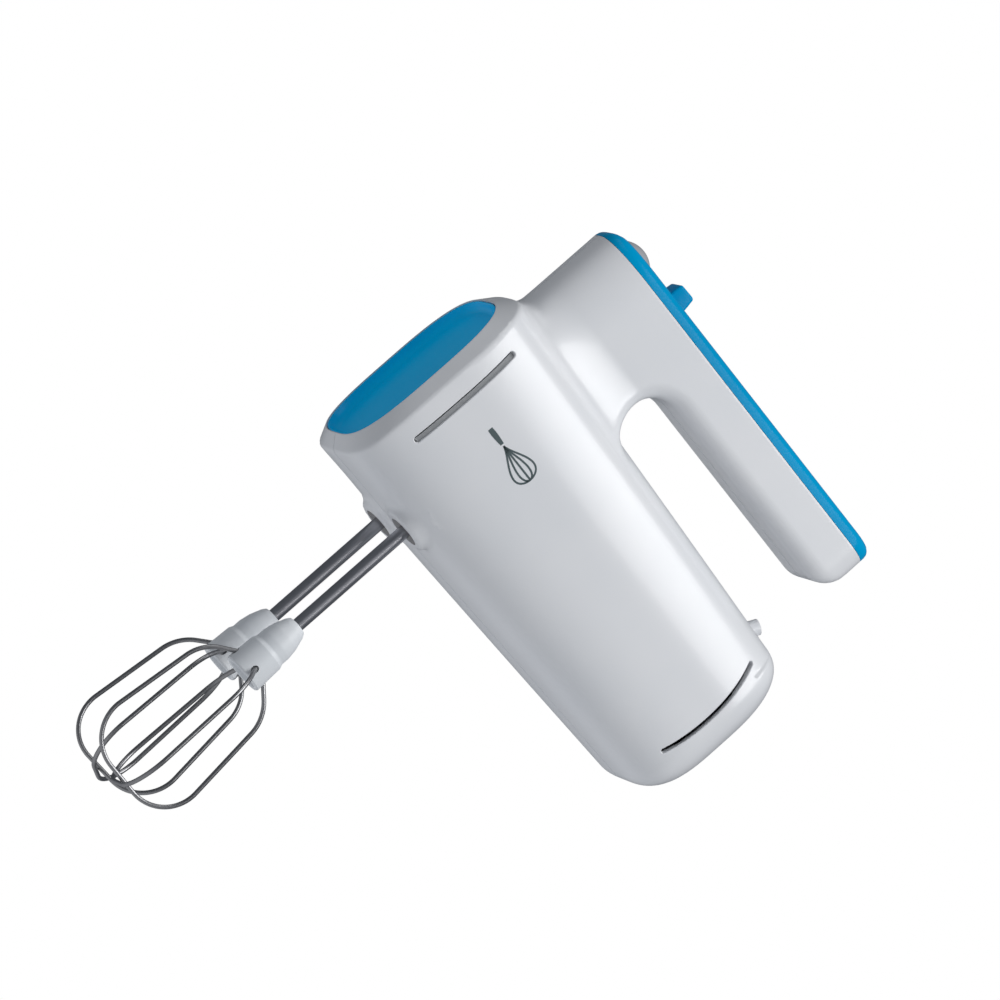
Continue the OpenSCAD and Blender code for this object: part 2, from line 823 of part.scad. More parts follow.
module stator_core() {
  color(grey) at_grip() translate([stator_x0, 0, motor_z]) rotate([90, 0, 90])
    linear_extrude(height = stator_x1 - stator_x0, convexity = 8) difference() {
      union() {
        difference() {
          square([54, 52], center = true);
          square([40, 42], center = true);
        }
        // two poles with shoes that wrap the armature
        for (s = [-1, 1]) {
          translate([-9, s > 0 ? 14 : -22]) square([18, 8]);
          intersection() {
            difference() {
              circle(r = 17.4, $fn = 96);
              circle(r = 15.6, $fn = 96);
            }
            translate([-13.4, s > 0 ? 6 : -20]) square([26.8, 14]);
          }
        }
      }
      circle(r = 15.6, $fn = 96);
      for (a = [-1, 1], b = [-1, 1]) translate([24 * a, 23 * b]) circle(r = 1.6, $fn = 24);
    }
}

module field_coils() {
  color(copper) at_grip() for (s = [-1, 1])
    translate([(stator_x0 + stator_x1) / 2, 0, motor_z + s * 19.2])
      linear_extrude(height = 2.8, center = true) difference() {
        square([38, 29], center = true);
        square([24.6, 18.6], center = true);
      }
}

module front_bearing() {
  color(brass) at_grip() tube_x(-26, -21, 5.5, 2 + fit);
}

module middle_bearing() {
  color(brass) at_grip() tube_x(23, 28, 7, 3 + fit);
}

module rear_bearing() {
  color(brass) at_grip() tube_x(98, 105, 7, 3 + fit);
}

module motor_bracket() {
  color(grey) at_grip() difference() {
    union() {
      box(99, 103, -29, 29, motor_z - 11, motor_z + 11);
      for (s = [-1, 1]) {
        side_box(99, 103, s, 20, 29, motor_z - 27, motor_z + 27);
        for (b = [-1, 1]) translate([stator_x1, s * 24, motor_z + b * 23])
          rotate([0, 90, 0]) cylinder(h = 28, r = 2.8);
      }
      // feet that reach down to the floor of the body
      for (s = [-1, 1]) side_box(96, 103, s, 18, 26, 7.6, motor_z - 20);
    }
    along_x(90, 110, 7.1);
    for (a = [-1, 1], b = [-1, 1]) translate([60, 24 * a, motor_z + 23 * b])
      rotate([0, 90, 0]) cylinder(h = 60, r = 1.6);
  }
}

module brush_holders() {
  color(brass) at_grip() for (s = [-1, 1]) difference() {
    side_box(83, 91, s, 11, 28.6, motor_z - 3.9, motor_z + 3.9);
    side_box(84, 90, s, 10, 27.6, motor_z - 2.9, motor_z + 2.9);
  }
}

module carbon_brushes() {
  color(dark) at_grip() for (s = [-1, 1])
    side_box(84.2, 89.8, s, 9.4, 20, motor_z - 2.7, motor_z + 2.7);
}

module brush_springs() {
  color(steel) at_grip() for (s = [-1, 1])
    translate([87, s * 20.2, motor_z]) rotate([-90 * s, 0, 0])
      linear_extrude(height = 7.2, twist = -360 * 4, slices = 36, segments = 4, convexity = 6)
        translate([1.7, 0]) circle(r = 0.35, $fn = 4);
}

// ---------- electrics ----------

module switch_block() {
  color(cream) at_grip() difference() {
    box(0, 42, -10, 10, 124, 134.8);
    for (k = [0 : 4]) box(4 + 7 * k, 7 + 7 * k, -7, 7, 133, 140);
  }
}

module switch_contacts() {
  color(brass) at_grip() for (k = [0 : 4])
    box(4.2 + 7 * k, 6.8 + 7 * k, -6.6, 6.6, 133, 135.4);
}

module circuit_board() {
  color(green) at_grip() union() {
    box(107, 138, -20, 20, 19, 20.6);
    for (k = [0 : 2]) translate([113 + 9 * k, -12, 20.6]) cylinder(h = 11, r = 3.4);
    box(111, 119, 2, 12, 20.6, 29);
    box(125, 133, 2, 14, 20.6, 26);
  }
}

module suppressor() {
  color(blue) at_grip() union() {
    box(108, 122, 2, 12, 35, 53);
    for (x = [111, 119]) translate([x, 7, 29]) cylinder(h = 6, r = 0.4, $fn = 16);
  }
}

lead_path = [[133, 63.5], [114, 63.5], [103, 76], [8, 76], [8, 124]];

module lead_wires() {
  color(dark) at_grip() for (k = [-1, 0, 1]) translate([0, 2.2 * k, 0])
    bent_wire(lead_path, [0, 5, 5, 5, 0], 0.8);
}

// ---------- screws ----------

module screw(len, head_r) {
  union() {
    difference() {
      cylinder(h = 1.8, r = head_r, $fn = 32);
      translate([0, 0, -0.1]) box(-head_r * 0.7, head_r * 0.7, -0.4, 0.4, 0, 0.9);
      translate([0, 0, -0.1]) box(-0.4, 0.4, -head_r * 0.7, head_r * 0.7, 0, 0.9);
    }
    translate([0, 0, 1.8]) cylinder(h = len, r = 1.4, $fn = 24);
  }
}

module case_screws() {
  color(steel) at_grip() for (p = screw_spots)
    translate([p[0], 9.8, p[1]]) rotate([90, 0, 0]) screw(19, 2.9);
}

module bracket_screws() {
  color(steel) at_grip() for (a = [-1, 1], b = [-1, 1])
    translate([104.9, 24 * a, motor_z + 23 * b]) rotate([0, -90, 0]) screw(26, 2.6);
}

// ---------- parts by name ----------

housing_left();
housing_right();
handle_cover();
front_cap();
speed_tab();
speed_carrier();
eject_button();
eject_yoke();
eject_spring();
spring_shelf();
cord_gland();
cord_clamp();
vent_screen_front();
vent_screen_rear();
beater_shaft_left();
beater_hub_left();
wire_outer_left();
wire_inner_left();
beater_shaft_right();
beater_hub_right();
wire_outer_right();
wire_inner_right();
spindle_left();
gear_left();
clip_left();
spindle_right();
gear_right();
clip_right();
lower_bushes();
upper_bushes();
gearbox_frame();
rotor_shaft();
worm();
armature_core();
armature_winding();
commutator();
cooling_fan();
stator_core();
field_coils();
front_bearing();
middle_bearing();
rear_bearing();
motor_bracket();
brush_holders();
carbon_brushes();
brush_springs();
switch_block();
switch_contacts();
circuit_board();
suppressor();
lead_wires();
case_screws();
bracket_screws();
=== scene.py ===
"""Looks of the hand mixer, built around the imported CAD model.

Shapes are worked out in millimetres in the build space of part.scad (beater axes at X = 0, rear at +X),
and moved to the row frame in metres when a mesh is made.
"""

import json
import math

import bmesh
import bpy
import numpy as np
from mathutils import Matrix, Vector


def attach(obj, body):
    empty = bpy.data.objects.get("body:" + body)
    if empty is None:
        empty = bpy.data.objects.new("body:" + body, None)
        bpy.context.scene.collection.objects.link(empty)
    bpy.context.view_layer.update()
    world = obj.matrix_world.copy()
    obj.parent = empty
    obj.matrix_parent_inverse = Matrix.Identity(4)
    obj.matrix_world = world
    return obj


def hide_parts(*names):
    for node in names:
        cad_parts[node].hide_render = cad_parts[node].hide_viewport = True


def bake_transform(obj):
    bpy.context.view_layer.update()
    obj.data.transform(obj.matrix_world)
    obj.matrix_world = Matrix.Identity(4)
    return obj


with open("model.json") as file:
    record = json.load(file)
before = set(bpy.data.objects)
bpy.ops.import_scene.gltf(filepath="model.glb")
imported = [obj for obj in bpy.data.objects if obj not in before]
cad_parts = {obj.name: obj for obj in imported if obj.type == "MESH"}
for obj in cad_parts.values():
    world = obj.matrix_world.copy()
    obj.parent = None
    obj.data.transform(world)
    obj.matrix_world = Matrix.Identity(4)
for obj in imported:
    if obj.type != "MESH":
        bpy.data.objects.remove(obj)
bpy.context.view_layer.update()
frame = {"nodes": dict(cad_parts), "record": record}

# middle of the hand grip in the build space, which is the row frame's origin
GRIP = np.array([82.0, 0.0, 134.0])
MM = 0.001

# ---------- camera ----------

YAW, PITCH, ROLL = map(math.radians, (15.871, 10.183, 48.621))
CAMERA_PLACE = (-0.85826, -2.80903, -0.61990)
LENS, SENSOR = 252.94, 36


def make_camera():
    """Camera fitted to the photograph; returns its right, up and forward directions."""
    right = Vector((math.cos(YAW), -math.sin(YAW), 0))
    forward = Vector((math.sin(YAW) * math.cos(PITCH), math.cos(YAW) * math.cos(PITCH), math.sin(PITCH)))
    up = right.cross(forward)
    ex = right * math.cos(ROLL) + up * math.sin(ROLL)
    ey = right * math.sin(ROLL) - up * math.cos(ROLL)
    data = bpy.data.cameras.new("camera")
    data.sensor_width = SENSOR
    data.lens = LENS
    data.clip_start = 0.1
    data.clip_end = 60
    cam = bpy.data.objects.new("camera", data)
    bpy.context.scene.collection.objects.link(cam)
    m = Matrix.Identity(4)
    for i in range(3):
        m[i][0], m[i][1], m[i][2] = ex[i], -ey[i], -forward[i]
    m.translation = Vector(CAMERA_PLACE)
    cam.matrix_world = m
    bpy.context.scene.camera = cam
    return ex, -ey, forward


cam_right, cam_up, cam_forward = make_camera()

# ---------- numbers shared with the CAD source, in millimetres ----------

BODY_REAR, BODY_HALF_W, BODY_TOP, BODY_LOW, TAPER = 165.0, 40.5, 93.8, -2.8, 0.045
FRONT, BEVEL, WALL, REAR_LEN = -47.0, 5.5, 2.4, 20.0
NECK_FRONT, GAP_FRONT, GAP_R = -36.4, 26.3, 13.0
HANDLE_REAR, HANDLE_HALF_W, HANDLE_TOP, HANDLE_LOW, COVER_T = 146.5, 18.0, 149.4, 120.2, 6.8
COVER_LOW = HANDLE_TOP - COVER_T
HALF_GAP = 18.0
NECK_LEN = GAP_FRONT - NECK_FRONT
BUTTON_X, BUTTON_R, TAB_X, TRAVEL = -18.6, 9.2, 7.0, 20.0
GLAND_X, GLAND_LEAN, GLAND_R, GLAND_BORE = 138.5, 25.0, 3.6, 2.6
# (x, z) of the case screws; the last two are in the handle and the neck
SCREWS = [(-32, 12), (-31, 80), (118, 12.5), (152, 48), (136, 132), (15, 104)]
FRONT_LOW, FRONT_TOP = 1.585, 87.4
# how square an oval is: 2 is an ellipse, and more is squarer
FACE_SHARP, UPPER_SHARP, NECK_SHARP = 3.3, 3.0, 2.7
TAIL_LEN, TAIL_MIN, TAIL_SHARP = 13, 0.35, 2.3
GAP_LOW, COLLAR_LOW = 92.0, -5.2


def top_z(x):
    return BODY_TOP - TAPER * x


def low_z(x):
    return BODY_LOW + TAPER * x + 0.6 * ease(-x / 30)


def half_w(x):
    """Half of the body's width at x; it narrows to the rear."""
    return BODY_HALF_W - 4.5 * np.clip((x - 40) / 105, 0, 1) ** 1.8


def ease(t):
    t = np.clip(t, 0, 1)
    return t * t * (3 - 2 * t)


def round_end(d, length, n):
    """Goes from 0 at d = 0 to 1 at d = length along a rounded corner."""
    return np.maximum(0, 1 - (1 - np.clip(d / length, 0, 1)) ** n) ** (1 / n)


# ---------- smooth outer surface as a field, negative inside ----------


def oval_radius(y, z, a, z0, z1, n0, n1, zc):
    """1 on an oval from z0 to z1 and a wide to each side, with its own sharpness below and above zc."""
    u = z - zc
    h = np.where(u >= 0, z1 - zc, zc - z0)
    n = np.where(u >= 0, n1, n0)
    return ((np.abs(y) / a) ** n + (np.abs(u) / h) ** n) ** (1 / n)


def body_value(x, y, z):
    """Motor body with its rounded rear end."""
    z0, z1 = low_z(x), top_z(x)
    r = oval_radius(y, z, half_w(x), z0, z1, 4.2, 3.0, (z0 + z1) / 2)
    t = np.maximum((x - BODY_REAR + REAR_LEN) / REAR_LEN, 0)
    return np.sqrt(r * r + t**2.6) - 1


def front_value(x, y, z):
    """Cone of the bevel round the front cap."""
    k = np.clip((x - FRONT) / BEVEL, -2.5, 30)
    n0 = FACE_SHARP + 0.9 * np.clip(k, 0, 1)
    low, top = FRONT_LOW - 5.7 * k, FRONT_TOP + 8.3 * k
    return oval_radius(y, z, 35 + 5.5 * k, low, top, n0, UPPER_SHARP, 45.0) - 1


def tail_width(x):
    return TAIL_MIN + 0.65 * round_end(HANDLE_REAR - x, TAIL_LEN, TAIL_SHARP)


def grip_side(x, y, z):
    """Side walls of neck and handle, with the rounded nose at the front."""
    s = np.maximum(1 - (x - NECK_FRONT) / (NECK_LEN / 2), 0)
    w = HANDLE_HALF_W * tail_width(x) + 9 * np.clip((112 - z) / 24, 0, 1.15) ** 2
    return ((np.abs(y) / w) ** NECK_SHARP + s**NECK_SHARP) ** (1 / NECK_SHARP) - 1


def grip_top(x, y, z):
    """Top of the handle, dropping at both ends."""
    drop = 7 * (1 - round_end(x - NECK_FRONT, 9, 2)) + 4 * (1 - round_end(HANDLE_REAR - x, 5, 2))
    return z - HANDLE_TOP + drop


def grip_gap(x, y, z):
    """Positive inside the finger gap and under the handle."""
    r = (HANDLE_LOW - 0.2 - GAP_LOW) / 2
    cx, cz = GAP_FRONT + r, GAP_LOW + r
    up = np.where(z < cz, np.where(x > cx, 0, 0.7 * (z - cz)), z - cz)
    rise = 17 * (1 - round_end(HANDLE_REAR - x, 14, 2.1))
    return r + rise - np.hypot(np.maximum(cx - x, 0), up)


def near(value, x, y, z, e=0.02):
    """Distance to the surface where value is 0, to first order, and its direction."""
    v = value(x, y, z)
    g = np.stack([value(x + e, y, z) - v, value(x, y + e, z) - v, value(x, y, z + e) - v]) / e
    size = np.sqrt((g * g).sum(0)) + 1e-9
    return v / size, g / size


def plane(x, axis, sign, at):
    """Distance past a plane across the axis, and its direction."""
    n = np.zeros((3,) + x[0].shape)
    n[axis] = sign
    return sign * (x[axis] - at), n


def soften(a, b, k, join, least=0.12):
    """Union (join 1) or common part (join -1) of two fields.

    The join is rounded by up to k where the surfaces meet at an angle, and by least * k where they run alike.
    """
    (da, na), (db, nb) = a, b
    k = k * np.clip(1 - (na * nb).sum(0), least, 1) + 1e-4
    h = np.clip(0.5 + 0.5 * join * (db - da) / k, 0, 1)
    n = nb * (1 - h) + na * h
    n = n / (np.sqrt((n * n).sum(0)) + 1e-9)
    return db * (1 - h) + da * h - join * k * h * (1 - h), n


def collar(p):
    """Soft raised rim around each beater socket."""
    x, y, z = p
    yy = np.abs(y) - HALF_GAP
    rho = np.hypot(x, yy) + 1e-6
    side = np.stack([x / rho, yy / rho * np.sign(y + 1e-9), np.full_like(x, -0.35)])
    side = side / np.sqrt((side * side).sum(0))
    d = ((rho - 10.6 - 0.35 * (z - COLLAR_LOW)) * 0.94, side)
    return soften(d, plane(p, 2, -1, COLLAR_LOW), 2.0, -1)


def outer_field(points):
    """Signed distance, to first order, from the whole outer shape."""
    p = [points[..., i] for i in range(3)]
    body = soften(near(body_value, *p), near(front_value, *p), 2.6, -1)
    body = soften(body, plane(p, 0, -1, FRONT - 5), 0.01, -1)
    grip = soften(near(grip_side, *p), near(grip_top, *p), 8.0, -1)
    grip = soften(grip, near(grip_gap, *p), 7.0, -1)
    grip = soften(grip, plane(p, 0, 1, HANDLE_REAR - 0.2), 2.0, -1)
    grip = soften(grip, plane(p, 2, -1, 76.0), 0.01, -1)
    d = soften(grip, body, 7.0, 1, 0.35)
    low = soften(collar(p), plane(p, 2, 1, 2.0), 0.01, -1)
    return soften(d, low, 4.5, 1, 0.25)[0]


def gradient(points, e=0.03):
    g = np.zeros_like(points)
    for i in range(3):
        step = np.zeros(3)
        step[i] = e
        g[..., i] = (outer_field(points + step) - outer_field(points - step)) / (2 * e)
    return g


def unit(v):
    return v / (np.linalg.norm(v, axis=-1, keepdims=True) + 1e-12)


def settle(points, steps=4):
    """Moves points onto the outer surface."""
    for _ in range(steps):
        g = gradient(points)
        d = outer_field(points)
        step = np.clip(d / (np.sum(g * g, -1) + 1e-6), -1.5, 1.5)
        points = points - g * step[..., None]
    return points


def surface_y(x, z, side):
    """Y of the body's side wall above each point of the XZ plane."""
    lo, hi = np.full_like(x, 12.0), np.full_like(x, 48.0)
    for _ in range(26):
        mid = (lo + hi) / 2
        inside = outer_field(np.stack([x, mid, z], -1)) < 0
        lo, hi = np.where(inside, mid, lo), np.where(inside, hi, mid)
    return side * (lo + hi) / 2


def surface_nets(field, low, h):
    """Quads around the zero of a grid of values: (points, quads)."""
    inside = field < 0
    cells = tuple(n - 1 for n in field.shape)
    total = np.zeros(cells + (3,))
    count = np.zeros(cells)
    crossings = []
    for axis in range(3):
        a = [slice(None)] * 3
        b = [slice(None)] * 3
        a[axis], b[axis] = slice(0, -1), slice(1, None)
        fa, fb = field[tuple(a)], field[tuple(b)]
        hit = inside[tuple(a)] != inside[tuple(b)]
        t = np.where(hit, fa / np.where(hit, fa - fb, 1), 0)
        index = np.stack(np.meshgrid(*[np.arange(n) for n in hit.shape], indexing="ij"), -1).astype(float)
        index[..., axis] += t
        crossings.append((hit, inside[tuple(a)]))
        u, v = [i for i in range(3) if i != axis]
        for du in (0, 1):
            for dv in (0, 1):
                take = [slice(None)] * 3
                take[u] = slice(du, du + cells[u])
                take[v] = slice(dv, dv + cells[v])
                m = hit[tuple(take)]
                total += index[tuple(take)] * m[..., None]
                count += m
    used = count > 0
    number = -np.ones(cells, int)
    number[used] = np.arange(used.sum())
    points = low + h * total[used] / count[used][:, None]
    quads = []
    for axis in range(3):
        hit, start_in = crossings[axis]
        u, v = [(1, 2), (2, 0), (0, 1)][axis]
        i = np.argwhere(hit)
        i = i[(i[:, u] > 0) & (i[:, v] > 0) & (i[:, u] < cells[u]) & (i[:, v] < cells[v])]
        eu, ev = np.eye(3, dtype=int)[u], np.eye(3, dtype=int)[v]
        corners = ((1, 1), (0, 1), (0, 0), (1, 0))
        q = np.stack([number[tuple((i - du * eu - dv * ev).T)] for du, dv in corners], 1)
        flip = ~start_in[tuple(i.T)]
        q[flip] = q[flip][:, ::-1]
        quads.append(q)
    quads = np.concatenate(quads)
    return points, quads[(quads >= 0).all(1)]


# ---------- mesh helpers ----------


def new_object(name, points, faces):
    """Object from points in millimetres in the build space."""
    mesh = bpy.data.meshes.new(name)
    points = (np.asarray(points, float) - GRIP) * MM
    mesh.from_pydata(points.tolist(), [], [list(map(int, f)) for f in faces])
    mesh.validate()
    obj = bpy.data.objects.new(name, mesh)
    bpy.context.scene.collection.objects.link(obj)
    return obj


def fix_normals(obj):
    b = bmesh.new()
    b.from_mesh(obj.data)
    bmesh.ops.recalc_face_normals(b, faces=b.faces)
    b.to_mesh(obj.data)
    b.free()


def smooth(obj, angle=35):
    """Smooth shading, with edges sharper than the angle left sharp."""
    obj.data.polygons.foreach_set("use_smooth", [True] * len(obj.data.polygons))
    b = bmesh.new()
    b.from_mesh(obj.data)
    limit = math.radians(angle)
    for e in b.edges:
        e.smooth = len(e.link_faces) != 2 or e.calc_face_angle(0) < limit
    b.to_mesh(obj.data)
    b.free()


def skin(name, rings):
    """Closed solid over rings of the same number of points."""
    rings = [np.asarray(r, float) for r in rings]
    n, m = len(rings[0]), len(rings)
    faces = []
    for j in range(m - 1):
        for i in range(n):
            k = (i + 1) % n
            faces.append([j * n + i, (j + 1) * n + i, (j + 1) * n + k, j * n + k])
    faces += [list(range(n)), [(m - 1) * n + i for i in reversed(range(n))]]
    obj = new_object(name, np.concatenate(rings), faces)
    fix_normals(obj)
    return obj


def block(name, low, high):
    (a, b, c), (d, e, f) = low, high
    rings = [[(a, b, z), (d, b, z), (d, e, z), (a, e, z)] for z in (c, f)]
    return skin(name, rings)


def circle(r, seg, shift=0.0):
    turns = [2 * math.pi * (i + shift) / seg for i in range(seg)]
    return [(r * math.cos(a), r * math.sin(a)) for a in turns]


def lathe(name, profile, centre, seg=64, tilt=None):
    """Turned solid about Z through centre, leaning by tilt degrees to the rear.

    profile holds (radius, z), from one end of the axis to the other; one that starts off the axis
    closes on itself.
    """
    points, faces, rings = [], [], []
    for r, z in profile:
        if r < 1e-6:
            rings.append([len(points)])
            points.append((0, 0, z))
        else:
            rings.append(list(range(len(points), len(points) + seg)))
            points += [(u, v, z) for u, v in circle(r, seg)]
    closed = len(rings[0]) > 1
    pairs = list(zip(rings, rings[1:])) + ([(rings[-1], rings[0])] if closed else [])
    for a, b in pairs:
        for i in range(seg):
            k = (i + 1) % seg
            f = [a[i % len(a)], a[k % len(a)], b[k % len(b)], b[i % len(b)]]
            faces.append(list(dict.fromkeys(f)))
    points = np.array(points, float)
    if tilt is not None:
        c, s = math.cos(math.radians(tilt)), math.sin(math.radians(tilt))
        points = points @ np.array([[c, 0, s], [0, 1, 0], [-s, 0, c]]).T
    obj = new_object(name, points + np.array(centre, float), faces)
    fix_normals(obj)
    return obj


def rounded(profile, radii, steps=6):
    """Profile with its corners rounded; radii holds one number per point."""
    out = []
    pts = [np.array(p, float) for p in profile]
    for i, p in enumerate(pts):
        r = radii[i]
        if i in (0, len(pts) - 1) or r <= 0:
            out.append(p)
            continue
        u, v = unit(pts[i - 1] - p), unit(pts[i + 1] - p)
        half = math.acos(max(-1, min(1, float(u @ v)))) / 2
        cut = r / math.tan(half)
        mid = p + unit(u + v) * r / math.sin(half)
        a, b = p + u * cut - mid, p + v * cut - mid
        whole = math.acos(max(-1, min(1, float(a @ b) / (r * r))))
        n = max(2, int(math.ceil(steps * whole / 1.2)))
        for k in range(n + 1):
            t = k / n
            out.append(mid + (a * math.sin((1 - t) * whole) + b * math.sin(t * whole)) / math.sin(whole))
    return out


def solid_cut(obj, cutters):
    """Takes closed solids away from a closed solid, one after the other."""
    for c in cutters:
        m = obj.modifiers.new("cut", "BOOLEAN")
        m.solver = "MANIFOLD"
        m.operation = "DIFFERENCE"
        m.object = c
        graph = bpy.context.evaluated_depsgraph_get()
        mesh = bpy.data.meshes.new_from_object(obj.evaluated_get(graph))
        obj.modifiers.clear()
        old = obj.data
        obj.data = mesh
        bpy.data.meshes.remove(old)
    return obj


def drop(*objects):
    for o in objects:
        bpy.data.objects.remove(o)


def copy_of(obj, name):
    new = bpy.data.objects.new(name, obj.data.copy())
    bpy.context.scene.collection.objects.link(new)
    return new


def join(name, objects):
    """One object from several, each kept as its own closed shell."""
    points, faces, base = [], [], 0
    for o in objects:
        co = np.array([v.co for v in o.data.vertices])
        points.append(co / MM + GRIP)
        faces += [[base + v for v in p.vertices] for p in o.data.polygons]
        base += len(co)
    drop(*objects)
    return new_object(name, np.concatenate(points), faces)


# ---------- the moulded shell ----------

GRID = 1.7
SEAM, GROOVE = 0.4, 1.1  # half the width and the depth of the parting groove


def outer_net():
    """Points and quads of one side of the outer shape."""
    low = np.array([FRONT - 8.3, -1.3 * GRID, -9.1])
    high = np.array([BODY_REAR + 4, BODY_HALF_W + 4, HANDLE_TOP + 4])
    axes = [np.arange(low[i], high[i] + GRID, GRID) for i in range(3)]
    grid = np.stack(np.meshgrid(*axes, indexing="ij"), -1)
    field = np.concatenate([outer_field(g) for g in np.array_split(grid, 8)])
    points, quads = surface_nets(field, low, GRID)
    return settle(points), quads


def outer_solid(net, groove):
    """Whole outer shape as one closed mesh, with a fine groove of the given depth along the middle."""
    points, quads = net
    b = bmesh.new()
    verts = [b.verts.new(p) for p in points]
    for q in quads:
        if len(set(q)) == 4:
            try:
                b.faces.new([verts[i] for i in q])
            except ValueError:
                pass
    everything = list(b.verts) + list(b.edges) + list(b.faces)
    bmesh.ops.bisect_plane(b, geom=everything, plane_co=(0, 0, 0), plane_no=(0, 1, 0), clear_inner=True)
    everything = list(b.verts) + list(b.edges) + list(b.faces)
    bmesh.ops.bisect_plane(b, geom=everything, plane_co=(0, SEAM, 0), plane_no=(0, 1, 0))
    b.verts.ensure_lookup_table()
    co = np.array([v.co for v in b.verts])
    edge = np.abs(co[:, 1]) < 1e-4
    co[~edge] = np.where((co[~edge, 1] < SEAM + 1e-4)[:, None], settle(co[~edge], 1), co[~edge])
    n = unit(gradient(co[edge]))
    co[edge] = settle(co[edge], 1) - n * groove
    co[edge, 1] = 0
    for v, p in zip(b.verts, co):
        v.co = p
    geom = list(b.verts) + list(b.edges) + list(b.faces)
    twin = bmesh.ops.duplicate(b, geom=geom)["geom"]
    for v in [g for g in twin if isinstance(g, bmesh.types.BMVert)]:
        v.co.y = -v.co.y
    bmesh.ops.reverse_faces(b, faces=[g for g in twin if isinstance(g, bmesh.types.BMFace)])
    near_mid = [v for v in b.verts if abs(v.co.y) < 1e-4]
    bmesh.ops.remove_doubles(b, verts=near_mid, dist=1e-3)
    bmesh.ops.recalc_face_normals(b, faces=b.faces)
    for v in b.verts:
        v.co = (v.co - Vector(GRIP)) * MM
    mesh = bpy.data.meshes.new("outer")
    b.to_mesh(mesh)
    b.free()
    obj = bpy.data.objects.new("outer", mesh)
    bpy.context.scene.collection.objects.link(obj)
    return obj


def polish(obj, angle=32):
    """Sharp cut edges, and exact normals where a face lies on the outer surface."""
    smooth(obj, angle)
    mesh = obj.data
    co = np.array([v.co for v in mesh.vertices]) / MM + GRIP
    n = unit(gradient(co))
    loops = np.zeros(len(mesh.loops) * 3, np.float32)
    mesh.corner_normals.foreach_get("vector", loops)
    loops = loops.reshape(-1, 3)
    vert = np.zeros(len(mesh.loops), np.int32)
    mesh.loops.foreach_get("vertex_index", vert)
    off = np.abs(outer_field(co))
    for p in mesh.polygons:
        ids = vert[p.loop_start : p.loop_start + p.loop_total]
        if off[ids].max() < 0.4:
            near_n = n[ids]
            if (near_n @ np.array(p.normal)).min() > 0.6:
                loops[p.loop_start : p.loop_start + p.loop_total] = near_n
        elif np.abs(co[ids, 1]).max() < SEAM + 1e-3:
            # faces inside the parting groove take the second material, a painted shade
            p.material_index = 1
    mesh.normals_split_custom_set(loops.tolist())


def body_ring(x, close, g, count=72):
    """Outline of the body at x, set in by g and then scaled by close."""
    z0, z1 = float(low_z(x)), float(top_z(x))
    zc, h = (z0 + z1) / 2, ((z1 - z0) / 2 - g) * close
    a = (float(half_w(x)) - g) * close
    return oval_ring(x, a, zc - h, zc + h, 4.2, 3.0, zc, count)


def oval_ring(x, a, z0, z1, n0, n1, zc, count):
    ring = []
    for i in range(count):
        t = 2 * math.pi * (i + 0.5) / count
        c, s = math.cos(t), math.sin(t)
        n, h = (n1, z1 - zc) if s >= 0 else (n0, zc - z0)
        y = a * math.copysign(abs(c) ** (2 / n), c)
        ring.append((x, y, zc + h * math.copysign(abs(s) ** (2 / n), s)))
    return ring


def front_ring(d, g, count=160):
    """Outline of the front face, set in by g and d behind the face."""
    low, top = FRONT_LOW + g, FRONT_TOP - g
    return oval_ring(FRONT + d, BODY_HALF_W - BEVEL - g, low, top, FACE_SHARP, UPPER_SHARP, 45.0, count)


def cavities():
    """The hollow inside of the body, the neck and the handle."""
    tail = BODY_REAR - REAR_LEN
    rings = [body_ring(x, 1, WALL) for x in (FRONT + 10.6, -20, 20, 60, 100, 130)]
    for t in (0, 0.3, 0.5, 0.66, 0.79, 0.89, 0.96):
        rings.append(body_ring(tail + (REAR_LEN - WALL) * t, (1 - t**2.6) ** 0.5, WALL))
    body = skin("cavity_body", rings)
    rings = []
    for z in np.linspace(80, 136, 18):
        dz = z - (HANDLE_LOW - GAP_R - 0.9)
        dz = min(1, abs(dz if dz > 0 else 0.7 * dz) / (GAP_R + WALL))
        x1 = GAP_FRONT + (GAP_R + WALL) * (1 - math.sqrt(1 - dz * dz)) - WALL
        x0 = NECK_FRONT + WALL
        w = HANDLE_HALF_W - WALL + 10 * max(0, min(1, (112 - max(z, 90)) / 24)) ** 2
        ring = oval_ring(0, w, -(x1 - x0) / 2, (x1 - x0) / 2, NECK_SHARP, NECK_SHARP, 0, 40)
        rings.append([((x0 + x1) / 2 + p[2], p[1], z) for p in ring])
    neck = skin("cavity_neck", rings)
    rings = []
    x0, x1 = NECK_FRONT + WALL, HANDLE_REAR - WALL
    front_steps, rear_steps = np.array([0.3, 1, 3, 6, 12, 22, 31]), np.array([14, 8, 4, 1.5, 0.4])
    for x in list(x0 + front_steps) + [60, 100] + list(x1 - rear_steps):
        w = (HANDLE_HALF_W - WALL) * float(round_end(x - x0, NECK_LEN / 2, NECK_SHARP)) * (
            TAIL_MIN + 0.65 * float(round_end(x1 - x, TAIL_LEN, TAIL_SHARP)))
        z1 = HANDLE_TOP - WALL - 7 * (1 - float(round_end(x - x0, 9, 2)))
        z0 = HANDLE_LOW + WALL + 17 * (1 - float(round_end(x1 - x, 14, 2.1)))
        rings.append(oval_ring(x, w, z0, z1, 2.6, 3.4, (z0 + z1) / 2, 40))
    handle = skin("cavity_handle", rings)
    return [body, neck, handle]


def rod_y(name, x, z, y0, y1, r, seg=32):
    ring = [(x + u, z + v) for u, v in circle(r, seg)]
    return skin(name, [[(a, y, b) for a, b in ring] for y in (y0, y1)])


def slot_line(x, z0, z1, bow, tilt, q):
    """Middle line of a side slot, from its lower end at q = 0 to its upper end at q = 1."""
    return x + bow * (1 - (2 * q - 1) ** 2) - tilt * (2 * q - 1), z0 + (z1 - z0) * q


